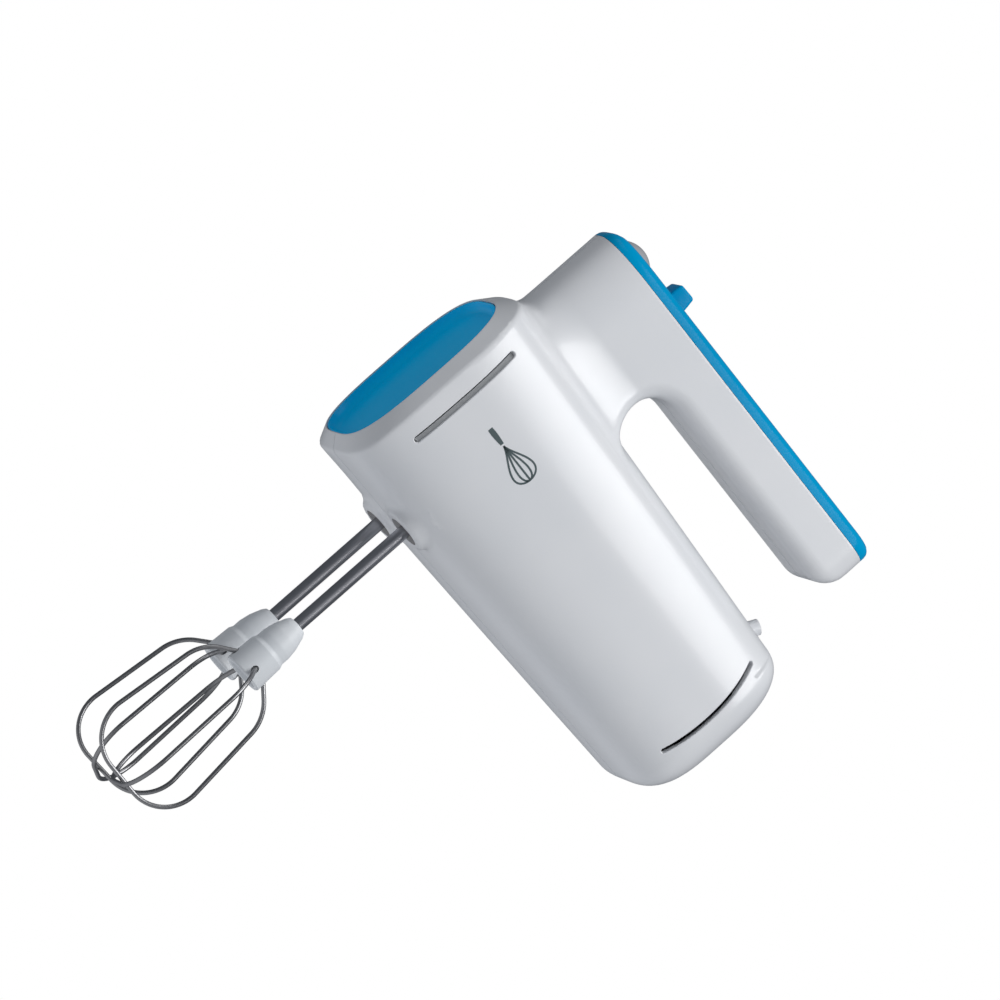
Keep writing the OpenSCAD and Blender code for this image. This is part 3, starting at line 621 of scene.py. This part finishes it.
SLOTS = {
    "front": dict(x=-32.0, z0=20.0, z1=74.0, w=2.8, bow=0.4, tilt=0.0),
    "rear": dict(x=141.3, z0=20.0, z1=73.4, w=2.0, bow=3.6, tilt=1.1),
}
LIP = 0.45  # radius of the slots' rounded edge


def slot_outline(s, grow, along=44, cap=12):
    """Closed outline of a slot in the XZ plane and the outward direction at each point."""
    q = np.linspace(0, 1, along)
    x, z = slot_line(s["x"], s["z0"], s["z1"], s["bow"], s["tilt"], q)
    mid = np.stack([x, z], -1)
    t = unit(np.gradient(mid, axis=0))
    side = np.stack([t[:, 1], -t[:, 0]], -1)
    r = s["w"] / 2
    pts, out = [], []
    for i in range(along):
        pts.append(mid[i] + side[i] * (r + grow))
        out.append(side[i])
    for end, sign in ((along - 1, 1), (0, -1)):
        if sign < 0:
            for i in reversed(range(along)):
                pts.append(mid[i] - side[i] * (r + grow))
                out.append(-side[i])
        a, b = sign * side[end], sign * t[end]
        for k in range(1, cap):
            f = math.pi * k / cap
            d = a * math.cos(f) + b * math.sin(f)
            pts.append(mid[end] + d * (r + grow))
            out.append(d)
    return np.array(pts), np.array(out)


def slot_cutter(s, side):
    pts, _ = slot_outline(s, LIP)
    return skin("slot_cut", [[(p[0], side * y, p[1]) for p in pts] for y in (20, 60)])


def slot_lip(name, s, side):
    """Rounded edge and side wall of a slot, swept around its outline."""
    base, out = slot_outline(s, 0)
    depth = 3.0 if s is SLOTS["rear"] else 4.2
    prof = [(LIP * (1 - math.sin(a)), LIP * (1 - math.cos(a))) for a in np.linspace(0, math.pi / 2, 6)]
    prof = prof + [(0.0, depth), (LIP + 0.3, depth), (LIP + 0.3, LIP + 0.6)]
    foot = base + out * LIP
    y = surface_y(foot[:, 0], foot[:, 1], 1)
    top = np.stack([foot[:, 0], y, foot[:, 1]], -1)
    n = unit(gradient(top))
    rows = []
    for o, d in prof:
        shift = np.stack([out[:, 0] * (o - LIP), np.zeros(len(out)), out[:, 1] * (o - LIP)], -1)
        p = top + shift
        if o < LIP + 1e-6:
            # follows the slope of the wall towards the middle of the slot
            p[:, 1] -= (shift * n).sum(1) / n[:, 1]
        rows.append(p - n * d)
    rows = np.array(rows)
    rows[..., 1] *= side
    m, k = rows.shape[:2]
    faces = [[j * k + i, j * k + (i + 1) % k, ((j + 1) % m) * k + (i + 1) % k, ((j + 1) % m) * k + i]
             for j in range(m) for i in range(k)]
    obj = new_object(name, rows.reshape(-1, 3), faces)
    fix_normals(obj)
    smooth(obj, 40)
    return obj


def slot_louvre(name, s, side):
    """Sloping floor inside the front slot that leaves a narrow slit along its front edge; its grey is painted
    shade.
    """
    q = np.linspace(-0.01, 1.01, 40)
    x, z = slot_line(s["x"], s["z0"], s["z1"], s["bow"], s["tilt"], q)
    y = surface_y(x, z, 1)
    r = s["w"] / 2
    prof = [(-r + 1.0, 2.3), (r + 0.2, 0.95), (r + 0.2, 1.6), (-r + 1.0, 2.9)]
    rings = [[(x[i] + u, side * (y[i] - d), z[i]) for u, d in prof] for i in range(len(q))]
    return skin(name, rings)


def shell_pieces():
    """Both housing halves and the handle cover, cut from the one outer shape."""
    net = outer_net()
    outer = outer_solid(net, GROOVE)
    far = 300.0
    hollow = cavities()
    towers = [rod_y("tower", x, z, -60, 60, 3.8) for x, z in SCREWS]
    hollow[0] = solid_cut(hollow[0], towers[:4])
    for k in (1, 2):
        hollow[k] = solid_cut(hollow[k], towers[4:])
    cutters = [
        block("front_box", (-90, -far, -far), (FRONT, far, far)),
        block("seat_box", (-90, -60, COVER_LOW - 0.08), (200, 60, 200)),
        skin("opening", [front_ring(-2, 0.35), front_ring(7.2, 0.35)]),
        skin("ledge", [front_ring(7.0, 2.0), front_ring(12, 2.0)]),
    ]
    for side in (-1, 1):
        cutters.append(lathe("socket", [(0, -12), (7.3, -12), (7.3, 30), (0, 30)], (0, side * HALF_GAP, 0)))
        for s in SLOTS.values():
            cutters.append(slot_cutter(s, side))
    gland = lathe("gland_hole", [(0, -15), (GLAND_R + 0.15, -15), (GLAND_R + 0.15, 15), (0, 15)],
                  (GLAND_X, 0, float(top_z(GLAND_X))), tilt=GLAND_LEAN)
    cutters.append(gland)
    made = []
    for side, name in ((-1, "left"), (1, "right")):
        half = copy_of(outer, "shell_" + name)
        cut_away = block("half", (-90, min(0, -side * 90), -30), (200, max(0, -side * 90), 200))
        holes = [rod_y("bore", x, z, -12.5, 20, 1.7 if side > 0 else 1.45) for x, z in SCREWS]
        holes += [rod_y("head", x, z, 8, 60, 3.2) for x, z in SCREWS]
        solid_cut(half, [cut_away] + hollow + cutters + holes)
        drop(cut_away, *holes)
        polish(half)
        made.append(half)
    cover = outer_solid(net, 0.0)
    cover.name = "cover_band"
    under = block("under", (-90, -60, -30), (200, 60, COVER_LOW + 0.1))
    r = BUTTON_R + 0.35
    hole = lathe("button_hole", [(0, 120), (r, 120), (r, 170), (0, 170)], (BUTTON_X, 0, 0))

    def track(r, z0, x0, x1):
        ring = [((x1 if u > 0 else x0) + u, v) for u, v in circle(r, 48, 0.5)]
        return skin("track", [[(p[0], p[1], z) for p in ring] for z in (z0, 180)])

    tracks = [track(3.4, 120, TAB_X - 1.2, TAB_X + TRAVEL + 1.2),
              track(8.2, HANDLE_TOP - 1.2, TAB_X + 1.5, TAB_X + TRAVEL - 1.5)]
    solid_cut(cover, [under, hole] + tracks)
    polish(cover)
    drop(outer, under, hole, *tracks, *hollow, *towers, *cutters)
    return made[0], made[1], cover


# ---------- turned and moulded small parts ----------


def front_cap():
    """Shallow dish; the profile holds (distance behind the face, distance in from the edge)."""
    prof = [(6.6, 0.6), (0.75, 0.6), (0.5, 0.66), (0.36, 0.82), (0.3, 1.05), (0.36, 1.3), (0.6, 1.5),
            (1.4, 1.85), (2.4, 2.45), (3.2, 3.2), (3.8, 4.2), (4.15, 5.6), (4.3, 7.6), (4.4, 11),
            (4.5, 17), (4.55, 24), (4.6, 31)]
    rings = [front_ring(d, g) for d, g in prof]
    back = [front_ring(6.6, g) for g in (31, 17, 4)]
    obj = skin("front_dish", back + rings)
    smooth(obj, 30)
    return obj


def eject_dome():
    """Button with a domed top on a straight skirt."""
    base = HANDLE_TOP
    r, rise = BUTTON_R, 4.3
    ball = (r * r + rise * rise) / (2 * rise)
    prof = [(0, 140.0), (r - 1.6, 140.0), (r, 141.6), (r, base - 0.3)]
    for k in range(1, 19):
        a = math.asin(r / ball) * (1 - k / 18)
        prof.append((ball * math.sin(a), base + rise - ball * (1 - math.cos(a))))
    prof = rounded(prof, [0, 0, 0.6, 0.9] + [0] * 17 + [0], 8)
    obj = lathe("eject_dome", [tuple(p) for p in prof], (BUTTON_X, 0, 0), 96)
    smooth(obj, 32)
    return obj


def return_spring():
    """Coil under the eject button; its foot stands on the shelf."""
    turns, steps, r, wire, z0, z1 = 6, 28, 5.2, 0.62, 118.85, 139.2
    rings = []
    for i in range(turns * steps + 1):
        a = 2 * math.pi * i / steps
        out = np.array([math.cos(a), math.sin(a), 0])
        mid = r * out + np.array([BUTTON_X, 0, z0 + (z1 - z0) * i / (turns * steps)])
        rings.append([mid + wire * (math.cos(t) * out + math.sin(t) * np.array([0, 0, 1.0]))
                      for t in np.linspace(0, 2 * math.pi, 10, endpoint=False)])
    obj = skin("return_spring", rings)
    smooth(obj, 50)
    obj.data.materials.append(mats["steel"])
    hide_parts("eject_spring")
    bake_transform(obj)
    return obj


TAB_HALF_W, TAB_DRAFT = 7.0, 0.0095


def speed_slider():
    """Wedge-shaped tab on a round stem; its foot stays just clear of the cover."""
    z = HANDLE_TOP - 0.2
    outline = [(-5.1, z + 0.3), (5.1, z + 0.3), (4.6, z + 3.4), (3.9, z + 7.9), (-4.6, z + 7.6),
               (-5.05, z + 3.4)]
    b = bmesh.new()
    rows = []
    for y in (-TAB_HALF_W, TAB_HALF_W):
        rows.append([b.verts.new((px, y * (1 - TAB_DRAFT * (pz - z)), pz)) for px, pz in outline])
    n = len(outline)
    for i in range(n):
        b.faces.new([rows[0][i], rows[0][(i + 1) % n], rows[1][(i + 1) % n], rows[1][i]])
    b.faces.new(rows[0])
    b.faces.new(list(reversed(rows[1])))
    bmesh.ops.recalc_face_normals(b, faces=b.faces)
    sharp = [e for e in b.edges if e.calc_face_angle(0) > 0.5 and max(v.co.z for v in e.verts) > z + 1]
    bmesh.ops.bevel(b, geom=sharp, offset=1.3, segments=6, profile=0.5, affect="EDGES", clamp_overlap=True)
    points = np.array([v.co for v in b.verts]) + np.array([TAB_X, 0, 0])
    b.verts.index_update()
    faces = [[v.index for v in f.verts] for f in b.faces]
    b.free()
    top = new_object("tab_top", points, faces)
    stem = lathe("tab_stem", [(0, 142.4), (3.0, 142.4), (3.0, HANDLE_TOP + 1), (0, HANDLE_TOP + 1)],
                 (TAB_X, 0, 0), 40)
    obj = join("speed_slider", [top, stem])
    smooth(obj, 35)
    return obj


def gland_tube():
    """Cord inlet with a flange inside the housing."""
    flange = GLAND_R + 2
    prof = [(GLAND_BORE, -7.5), (flange, -7.5), (flange, -5.1), (GLAND_R, -5.1), (GLAND_R, 5.4),
            (GLAND_BORE, 5.4)]
    prof = rounded(prof, [0, 0, 0, 0, 0.5, 0], 6)
    prof = [tuple(p) for p in prof] + [(GLAND_BORE, 0)]
    obj = lathe("cord_tube", prof, (GLAND_X, 0, float(top_z(GLAND_X))), 64, tilt=GLAND_LEAN)
    smooth(obj, 35)
    return obj


HUB = [(0, -65), (4.3, -65), (5.5, -67.0), (7.25, -72.2), (8.05, -77.0), (8.0, -80.6), (8.85, -82.4),
       (9.4, -95.3), (8.9, -96), (7.2, -96), (6.5, -93.8), (0, -93.8)]
HUB_ROUND = [0, 1.0, 3.0, 9, 7, 2.0, 0.9, 0.4, 0.3, 0.5, 0.6, 0]
WIRE_R, WIRE_HOLE_R, SHAFT_R, SHAFT_GROOVE_R = 1.0, 1.55, 2.9, 2.4
TIP, CAGE_HALF, LOOP_STEP, LOOP_INSET = -162.4, 27.2, 2.15, 1.4
WIRE_START, SHOULDER = (5.2, -88.7), (21.0, -100.6)
SHOULDER_ROUND, TIP_ROUND = 19, 18
# turn of each beater at rest, read from the photograph; it keeps the two cages out of each other's way
PHASE = {"left": -2.0, "right": -33.6}
SIDE = {"left": -1, "right": 1}


def turn(points, degrees):
    """Points turned about Z."""
    c, s = math.cos(math.radians(degrees)), math.sin(math.radians(degrees))
    return np.asarray(points) @ np.array([[c, -s, 0], [s, c, 0], [0, 0, 1]]).T


def tube(name, path, r, seg=20):
    """Round wire along a path that lies in one plane, closed at both ends."""
    path = np.asarray(path)
    t = unit(np.gradient(path, axis=0))
    flat = unit(np.cross(t[0], t[len(t) // 2]))
    points, faces = [], []
    for p, d in zip(path, t):
        u = unit(np.cross(flat, d))
        for i in range(seg):
            a = 2 * math.pi * i / seg
            points.append(p + r * (math.cos(a) * u + math.sin(a) * flat))
    n = len(path)
    for j in range(n - 1):
        for i in range(seg):
            k = (i + 1) % seg
            faces.append([j * seg + i, j * seg + k, (j + 1) * seg + k, (j + 1) * seg + i])
    faces += [list(reversed(range(seg))), [(n - 1) * seg + i for i in range(seg)]]
    obj = new_object(name, points, faces)
    fix_normals(obj)
    smooth(obj, 50)
    return obj


def wire_loop(name, low, half, phase, side):
    """One wire of a cage, from its hole in the hub round the tip to the opposite hole."""
    a, s = WIRE_START, SHOULDER
    pts = [(a[0], a[1]), (s[0], s[1]), (half, low), (-half, low), (-s[0], s[1]), (-a[0], a[1])]
    path = rounded(pts, [0, SHOULDER_ROUND, TIP_ROUND, TIP_ROUND, SHOULDER_ROUND, 0], 30)
    fine = []
    for p, q in zip(path, path[1:]):
        n = max(1, int(np.linalg.norm(q - p) / 3))
        fine += [p + (q - p) * k / n for k in range(n)]
    fine.append(path[-1])
    space = turn([(p[0], 0, p[1]) for p in fine], phase) + np.array([0, side * HALF_GAP, 0])
    return tube(name, space, WIRE_R)


def beater_hub(which):
    side, phase = SIDE[which], PHASE[which]
    prof = [tuple(p) for p in rounded(HUB, HUB_ROUND, 8)]
    hub = lathe("hub_" + which, prof, (0, side * HALF_GAP, 0), 96)
    cutters = []
    for k in range(4):
        a, b = np.array([7.0, 0, -90.16]), np.array([16.0, 0, -97.36])
        d = unit(b - a)
        u, v = np.array([0, 1.0, 0]), np.cross(d, [0, 1.0, 0])
        rings = []
        for c in (a, b):
            rim = [c + WIRE_HOLE_R * (math.cos(t) * u + math.sin(t) * v)
                   for t in np.linspace(0, 2 * math.pi, 24, endpoint=False)]
            rings.append([turn(q, phase + 90 * k) + [0, side * HALF_GAP, 0] for q in rim])
        cutters.append(skin("hub_hole", rings))
    solid_cut(hub, cutters)
    drop(*cutters)
    smooth(hub, 35)
    return hub


def beater_shaft(which):
    """Shaft with the groove its clip springs into, and the two ears that the spindle drives."""
    side = SIDE[which]
    r, groove = SHAFT_R, SHAFT_GROOVE_R
    prof = [(0, -86.4), (r, -86.4), (r, 22.2), (groove, 22.4), (groove, 23.6), (r, 23.8), (r, 59),
            (2.0, 60), (0, 60)]
    shaft = lathe("rod", prof, (0, side * HALF_GAP, 0), 64)
    y = side * HALF_GAP
    ears = block("ears", (-4.4, y - 0.6, 6), (4.4, y + 0.6, 12))
    obj = join("shaft_" + which, [shaft, ears])
    smooth(obj, 35)
    return obj


def ribbon(points, widths, side):
    """Thin raised print on the body's side along a line of (x, z) points."""
    p = np.array(points, float)
    w = np.array(widths, float)[:, None]
    t = unit(np.gradient(p, axis=0))
    m = np.stack([-t[:, 1], t[:, 0]], -1)
    edges = [p + m * w / 2, p - m * w / 2]
    rings = []
    for i in range(len(p)):
        ring = []
        for e, d in ((0, 0.07), (1, 0.07), (1, -0.25), (0, -0.25)):
            q = edges[e][i]
            ring.append((q[0], d, q[1]))
        rings.append(ring)
    rings = np.array(rings)
    y = surface_y(rings[..., 0].ravel(), rings[..., 2].ravel(), 1).reshape(rings.shape[:2])
    rings[..., 1] = side * (y + rings[..., 1])
    return skin("ribbon", list(rings))


def whisk_print(name, side):
    """Plain whisk pictogram printed on the body's side."""
    cx, cz, line = -1.0, 46.5, 0.85
    parts = []

    def place(u, v):
        return cx + u, cz + v

    steps = np.linspace(0, 1, 8)
    widths = [1.6 + 0.9 * math.sin(math.pi * min(1, 0.25 + 0.75 * t)) for t in steps]
    parts.append(ribbon([place(-14 + 8.5 * t, 0) for t in steps], widths, side))
    for half in (5.6, 2.7):
        pts = []
        for k in range(49):
            a = 2 * math.pi * k / 48
            u = -4.6 + 9.3 * (1 - math.cos(a))
            v = half * math.sin(a) * (1 - math.cos(a)) / 1.3
            pts.append(place(u, v))
        parts.append(ribbon(pts, [line] * len(pts), side))
    parts.append(ribbon([place(-4.6 + 18.4 * t, 0) for t in np.linspace(0, 1, 16)], [line] * 16, side))
    return join(name, parts)


# ---------- materials ----------


def nodes_of(name):
    """New material with one shader; returns it, its nodes, the shader and object coordinates."""
    mat = bpy.data.materials.new(name)
    mat.use_nodes = True
    nt = mat.node_tree
    nt.nodes.clear()
    out = nt.nodes.new("ShaderNodeOutputMaterial")
    shader = nt.nodes.new("ShaderNodeBsdfPrincipled")
    nt.links.new(shader.outputs[0], out.inputs[0])
    place = nt.nodes.new("ShaderNodeTexCoord")
    return mat, nt, shader, place.outputs["Object"]


def noise(nt, place, scale, detail=3.0, stretch=None):
    if stretch is not None:
        mapping = nt.nodes.new("ShaderNodeMapping")
        mapping.inputs["Scale"].default_value = stretch
        nt.links.new(place, mapping.inputs["Vector"])
        place = mapping.outputs[0]
    n = nt.nodes.new("ShaderNodeTexNoise")
    n.inputs["Scale"].default_value = scale
    n.inputs["Detail"].default_value = detail
    nt.links.new(place, n.inputs["Vector"])
    return n.outputs[0]


def ramp(nt, value, a, b, low=0.35, high=0.65):
    r = nt.nodes.new("ShaderNodeValToRGB")
    r.color_ramp.elements[0].position = low
    r.color_ramp.elements[1].position = high
    r.color_ramp.elements[0].color = (*a, 1)
    r.color_ramp.elements[1].color = (*b, 1)
    nt.links.new(value, r.inputs[0])
    return r.outputs[0]


def spread(nt, value, low, high):
    """Noise, which stays near its middle, spread over the range from low to high."""
    m = nt.nodes.new("ShaderNodeMapRange")
    m.inputs["From Min"].default_value = 0.3
    m.inputs["From Max"].default_value = 0.7
    m.inputs["To Min"].default_value = low
    m.inputs["To Max"].default_value = high
    nt.links.new(value, m.inputs["Value"])
    return m.outputs[0]


def bump(nt, shader, value, strength, distance):
    b = nt.nodes.new("ShaderNodeBump")
    b.inputs["Strength"].default_value = strength
    b.inputs["Distance"].default_value = distance
    nt.links.new(value, b.inputs["Height"])
    nt.links.new(b.outputs[0], shader.inputs["Normal"])


def plastic(name, tone_a, tone_b, rough, grain=1400.0, depth=0.00002, coat=0.0, ior=1.5):
    mat, nt, s, place = nodes_of(name)
    nt.links.new(ramp(nt, noise(nt, place, 22), tone_a, tone_b), s.inputs["Base Color"])
    nt.links.new(spread(nt, noise(nt, place, 60), *rough), s.inputs["Roughness"])
    bump(nt, s, noise(nt, place, grain, 2.0), 0.25, depth)
    s.inputs["IOR"].default_value = ior
    s.inputs["Coat Weight"].default_value = coat
    s.inputs["Coat Roughness"].default_value = 0.12
    return mat


def metal(name, tone_a, tone_b, rough, stretch=(1, 1, 1), grain=900.0, depth=0.00001):
    mat, nt, s, place = nodes_of(name)
    s.inputs["Metallic"].default_value = 1.0
    fine = noise(nt, place, grain, 3.0, stretch)
    nt.links.new(ramp(nt, noise(nt, place, 35), tone_a, tone_b), s.inputs["Base Color"])
    nt.links.new(spread(nt, fine, *rough), s.inputs["Roughness"])
    bump(nt, s, fine, 0.2, depth)
    return mat


def winding(name, tone_a, tone_b, scale, axis):
    """Varnished copper wire laid in turns."""
    mat, nt, s, place = nodes_of(name)
    s.inputs["Metallic"].default_value = 1.0
    w = nt.nodes.new("ShaderNodeTexWave")
    w.bands_direction = axis
    w.inputs["Scale"].default_value = scale
    w.inputs["Distortion"].default_value = 0.6
    nt.links.new(place, w.inputs["Vector"])
    nt.links.new(ramp(nt, w.outputs["Fac"], tone_a, tone_b, 0.2, 0.8), s.inputs["Base Color"])
    nt.links.new(spread(nt, noise(nt, place, 300), 0.2, 0.35), s.inputs["Roughness"])
    bump(nt, s, w.outputs["Fac"], 0.8, 0.0002)
    return mat


def laminate(name, tone_a, tone_b, scale, axis):
    """Stack of thin steel sheets."""
    mat, nt, s, place = nodes_of(name)
    s.inputs["Metallic"].default_value = 1.0
    w = nt.nodes.new("ShaderNodeTexWave")
    w.bands_direction = axis
    w.inputs["Scale"].default_value = scale
    nt.links.new(place, w.inputs["Vector"])
    nt.links.new(ramp(nt, w.outputs["Fac"], tone_a, tone_b, 0.1, 0.6), s.inputs["Base Color"])
    nt.links.new(spread(nt, noise(nt, place, 400), 0.35, 0.5), s.inputs["Roughness"])
    bump(nt, s, w.outputs["Fac"], 0.5, 0.00008)
    return mat


def make_materials():
    m = {}
    m["white"] = plastic("white_abs", (0.72, 0.735, 0.76), (0.745, 0.755, 0.775), (0.3, 0.33), coat=0.25)
    m["satin"] = plastic("satin_white", (0.70, 0.73, 0.76), (0.74, 0.76, 0.78), (0.42, 0.5), 900.0, 0.00004)
    polished = dict(grain=1400.0, depth=0.000003)
    m["blue"] = plastic("gloss_blue", (0.0, 0.275, 0.54), (0.0, 0.30, 0.58), (0.19, 0.2),
                        ior=1.12, **polished)
    # painted light: the cap is the same blue plastic as the cover, given a lighter copy to stand in for
    # stronger light on it
    m["dish"] = plastic("dish_blue_painted_light", (0.0, 0.50, 0.95), (0.0, 0.53, 0.98), (0.22, 0.23),
                        ior=1.14, **polished)
    m["grey"] = plastic("dome_grey", (0.36, 0.37, 0.39), (0.4, 0.41, 0.43), (0.26, 0.3), coat=0.3)
    # painted shade: the louvre is the same white plastic as the housing, coloured grey for the dim inside of
    # the slot
    m["louvre"] = plastic("louvre_painted_shade", (0.38, 0.39, 0.40), (0.44, 0.45, 0.46), (0.4, 0.5))
    # painted shade: near-black stand-in for the shadow deep inside the parting groove of the white housing
    m["gap"] = plastic("parting_groove_painted_shade", (0.04, 0.042, 0.048), (0.06, 0.062, 0.068), (0.5, 0.6))
    m["print"] = plastic("slate_print", (0.045, 0.075, 0.082), (0.055, 0.085, 0.09), (0.4, 0.5))
    m["black"] = plastic("black_plastic", (0.012, 0.012, 0.014), (0.02, 0.02, 0.022), (0.45, 0.6))
    m["rubber"] = plastic("wire_rubber", (0.015, 0.015, 0.017), (0.03, 0.03, 0.03), (0.6, 0.75),
                          500.0, 0.00006)
    m["cream"] = plastic("nylon", (0.66, 0.62, 0.5), (0.72, 0.68, 0.57), (0.4, 0.5))
    m["board"] = plastic("board_green", (0.012, 0.09, 0.04), (0.02, 0.12, 0.055), (0.3, 0.45))
    m["steel"] = metal("polished_steel", (0.45, 0.45, 0.475), (0.5, 0.5, 0.525), (0.3, 0.32),
                       (1, 1, 0.06), 300.0, 0.0)
    m["wire"] = metal("wire_steel", (0.28, 0.28, 0.29), (0.33, 0.33, 0.335), (0.36, 0.38),
                      grain=300.0, depth=0.0)
    m["dark_steel"] = metal("dark_steel", (0.12, 0.12, 0.125), (0.17, 0.17, 0.17), (0.28, 0.4))
    m["brass"] = metal("sintered_bronze", (0.42, 0.28, 0.13), (0.5, 0.34, 0.16), (0.35, 0.5), grain=1500.0)
    m["frame"] = metal("cast_frame", (0.42, 0.43, 0.44), (0.5, 0.5, 0.51), (0.45, 0.6),
                       grain=500.0, depth=0.00005)
    m["copper"] = winding("copper_winding", (0.45, 0.16, 0.06), (0.8, 0.38, 0.2), 300.0, "X")
    m["core"] = laminate("laminated_core", (0.08, 0.08, 0.085), (0.35, 0.35, 0.36), 260.0, "X")
    return m


mats = make_materials()


def finish_piece(obj, mat, body, slot, *nodes):
    """Gives a piece its material and its body, and hides the CAD nodes it stands in for.

    The housing halves get a second material for the walls of the parting groove: a near-black painted shade
    standing for the shadow deep in the groove.
    """
    obj.data.materials.clear()
    obj.data.materials.append(mats[mat])
    if slot == "white" and len(nodes) == 1 and nodes[0].startswith("housing"):
        obj.data.materials.append(mats["gap"])
    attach(obj, body)
    if nodes:
        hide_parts(*nodes)
    return obj


for part in frame["record"]["subparts"]:
    node = frame["nodes"][part["node"]]
    for slot in node.material_slots:
        slot.material = mats.get(part["material_slot"], mats["cream"])

# ---------- pieces ----------

left, right, cover = shell_pieces()
finish_piece(left, "white", "housing", "white", "housing_left")
finish_piece(right, "white", "housing", "white", "housing_right")
finish_piece(cover, "blue", "housing", "blue", "handle_cover")
finish_piece(front_cap(), "dish", "housing", "blue", "front_cap")
for side, word in ((-1, "left"), (1, "right")):
    for key, s in SLOTS.items():
        finish_piece(slot_lip(f"slot_lip_{key}_{word}", s, side), "white", "housing", "white")
    finish_piece(slot_louvre(f"slot_louvre_{word}", SLOTS["front"], side), "louvre", "housing", "grey")
    finish_piece(whisk_print(f"whisk_print_{word}", side), "print", "housing", "grey")
finish_piece(gland_tube(), "white", "housing", "white", "cord_gland")
finish_piece(eject_dome(), "grey", "eject", "grey", "eject_button")
return_spring()
finish_piece(speed_slider(), "blue", "speed", "blue", "speed_tab")
for word in ("left", "right"):
    body = f"{word}_beater"
    finish_piece(beater_hub(word), "satin", body, "white", f"beater_hub_{word}")
    finish_piece(beater_shaft(word), "steel", body, "dark_steel", f"beater_shaft_{word}")
    outer_wire = wire_loop(f"loop_outer_{word}", TIP, CAGE_HALF, PHASE[word], SIDE[word])
    inner_wire = wire_loop(f"loop_inner_{word}", TIP - LOOP_STEP, CAGE_HALF - LOOP_INSET, PHASE[word] + 90,
                           SIDE[word])
    finish_piece(outer_wire, "wire", body, "dark_steel", f"wire_outer_{word}")
    finish_piece(inner_wire, "wire", body, "dark_steel", f"wire_inner_{word}")

# ---------- stage and light ----------

FLOOR_HALF, FLOOR_Z = 14.0, -1.95


def make_stage():
    """Pale floor, well below the mixer, which the photograph shows in the air."""
    mat, nt, s, place = nodes_of("floor_paper")
    tone = ramp(nt, noise(nt, place, 3), (0.86, 0.87, 0.89), (0.88, 0.89, 0.91))
    nt.links.new(tone, s.inputs["Base Color"])
    nt.links.new(tone, s.inputs["Emission Color"])
    s.inputs["Emission Strength"].default_value = 0.26
    s.inputs["Roughness"].default_value = 0.9
    mesh = bpy.data.meshes.new("floor")
    size, z = FLOOR_HALF, FLOOR_Z
    corners = [(-size, -size, z), (size, -size, z), (size, size, z), (-size, size, z)]
    mesh.from_pydata(corners, [], [(0, 1, 2, 3)])
    mesh.materials.append(mat)
    floor = bpy.data.objects.new("floor", mesh)
    bpy.context.scene.collection.objects.link(floor)


def soft_light(name, offset, size, power, colour=(1, 1, 1), glossy=True):
    """Area light aimed at the object; offset is (right, up, towards the camera) in the photograph's view."""
    centre = Vector((0.0, 0.0, -0.08))
    data = bpy.data.lights.new(name, "AREA")
    data.shape = "RECTANGLE"
    data.size, data.size_y = size
    data.energy = power
    data.color = colour
    lamp = bpy.data.objects.new(name, data)
    bpy.context.scene.collection.objects.link(lamp)
    lamp.visible_glossy = glossy
    lamp.location = centre + cam_right * offset[0] + cam_up * offset[1] - cam_forward * offset[2]
    lamp.rotation_mode = "QUATERNION"
    lamp.rotation_quaternion = (centre - lamp.location).to_track_quat("-Z", "Y")


def make_world():
    """White behind the object and a weak bluish light on it."""
    world = bpy.data.worlds.new("studio")
    world.use_nodes = True
    nt = world.node_tree
    nt.nodes.clear()
    out = nt.nodes.new("ShaderNodeOutputWorld")
    seen = nt.nodes.new("ShaderNodeBackground")
    lit = nt.nodes.new("ShaderNodeBackground")
    mix = nt.nodes.new("ShaderNodeMixShader")
    path = nt.nodes.new("ShaderNodeLightPath")
    seen.inputs["Color"].default_value = (1, 1, 1, 1)
    seen.inputs["Strength"].default_value = 1.0
    lit.inputs["Color"].default_value = (0.80, 0.88, 1.0, 1)
    lit.inputs["Strength"].default_value = 0.12
    nt.links.new(path.outputs["Is Camera Ray"], mix.inputs[0])
    nt.links.new(lit.outputs[0], mix.inputs[1])
    nt.links.new(seen.outputs[0], mix.inputs[2])
    nt.links.new(mix.outputs[0], out.inputs[0])
    bpy.context.scene.world = world


make_stage()
make_world()
soft_light("key", (2.0, 0.3, 0.9), (1.0, 2.2), 45)
soft_light("top", (0.6, 2.2, 0.6), (1.6, 0.9), 9)
soft_light("front", (0.9, 0.2, 2.2), (1.2, 1.2), 1.0, (0.94, 0.97, 1.0))
soft_light("low_left", (-0.95, -0.8, -0.3), (1.3, 1.3), 3.0, (0.92, 0.95, 1.0), glossy=False)
soft_light("far_side", (-0.6, 0.9, -2.0), (1.8, 1.8), 9, glossy=False)
bpy.context.scene.view_settings.view_transform = "Standard"
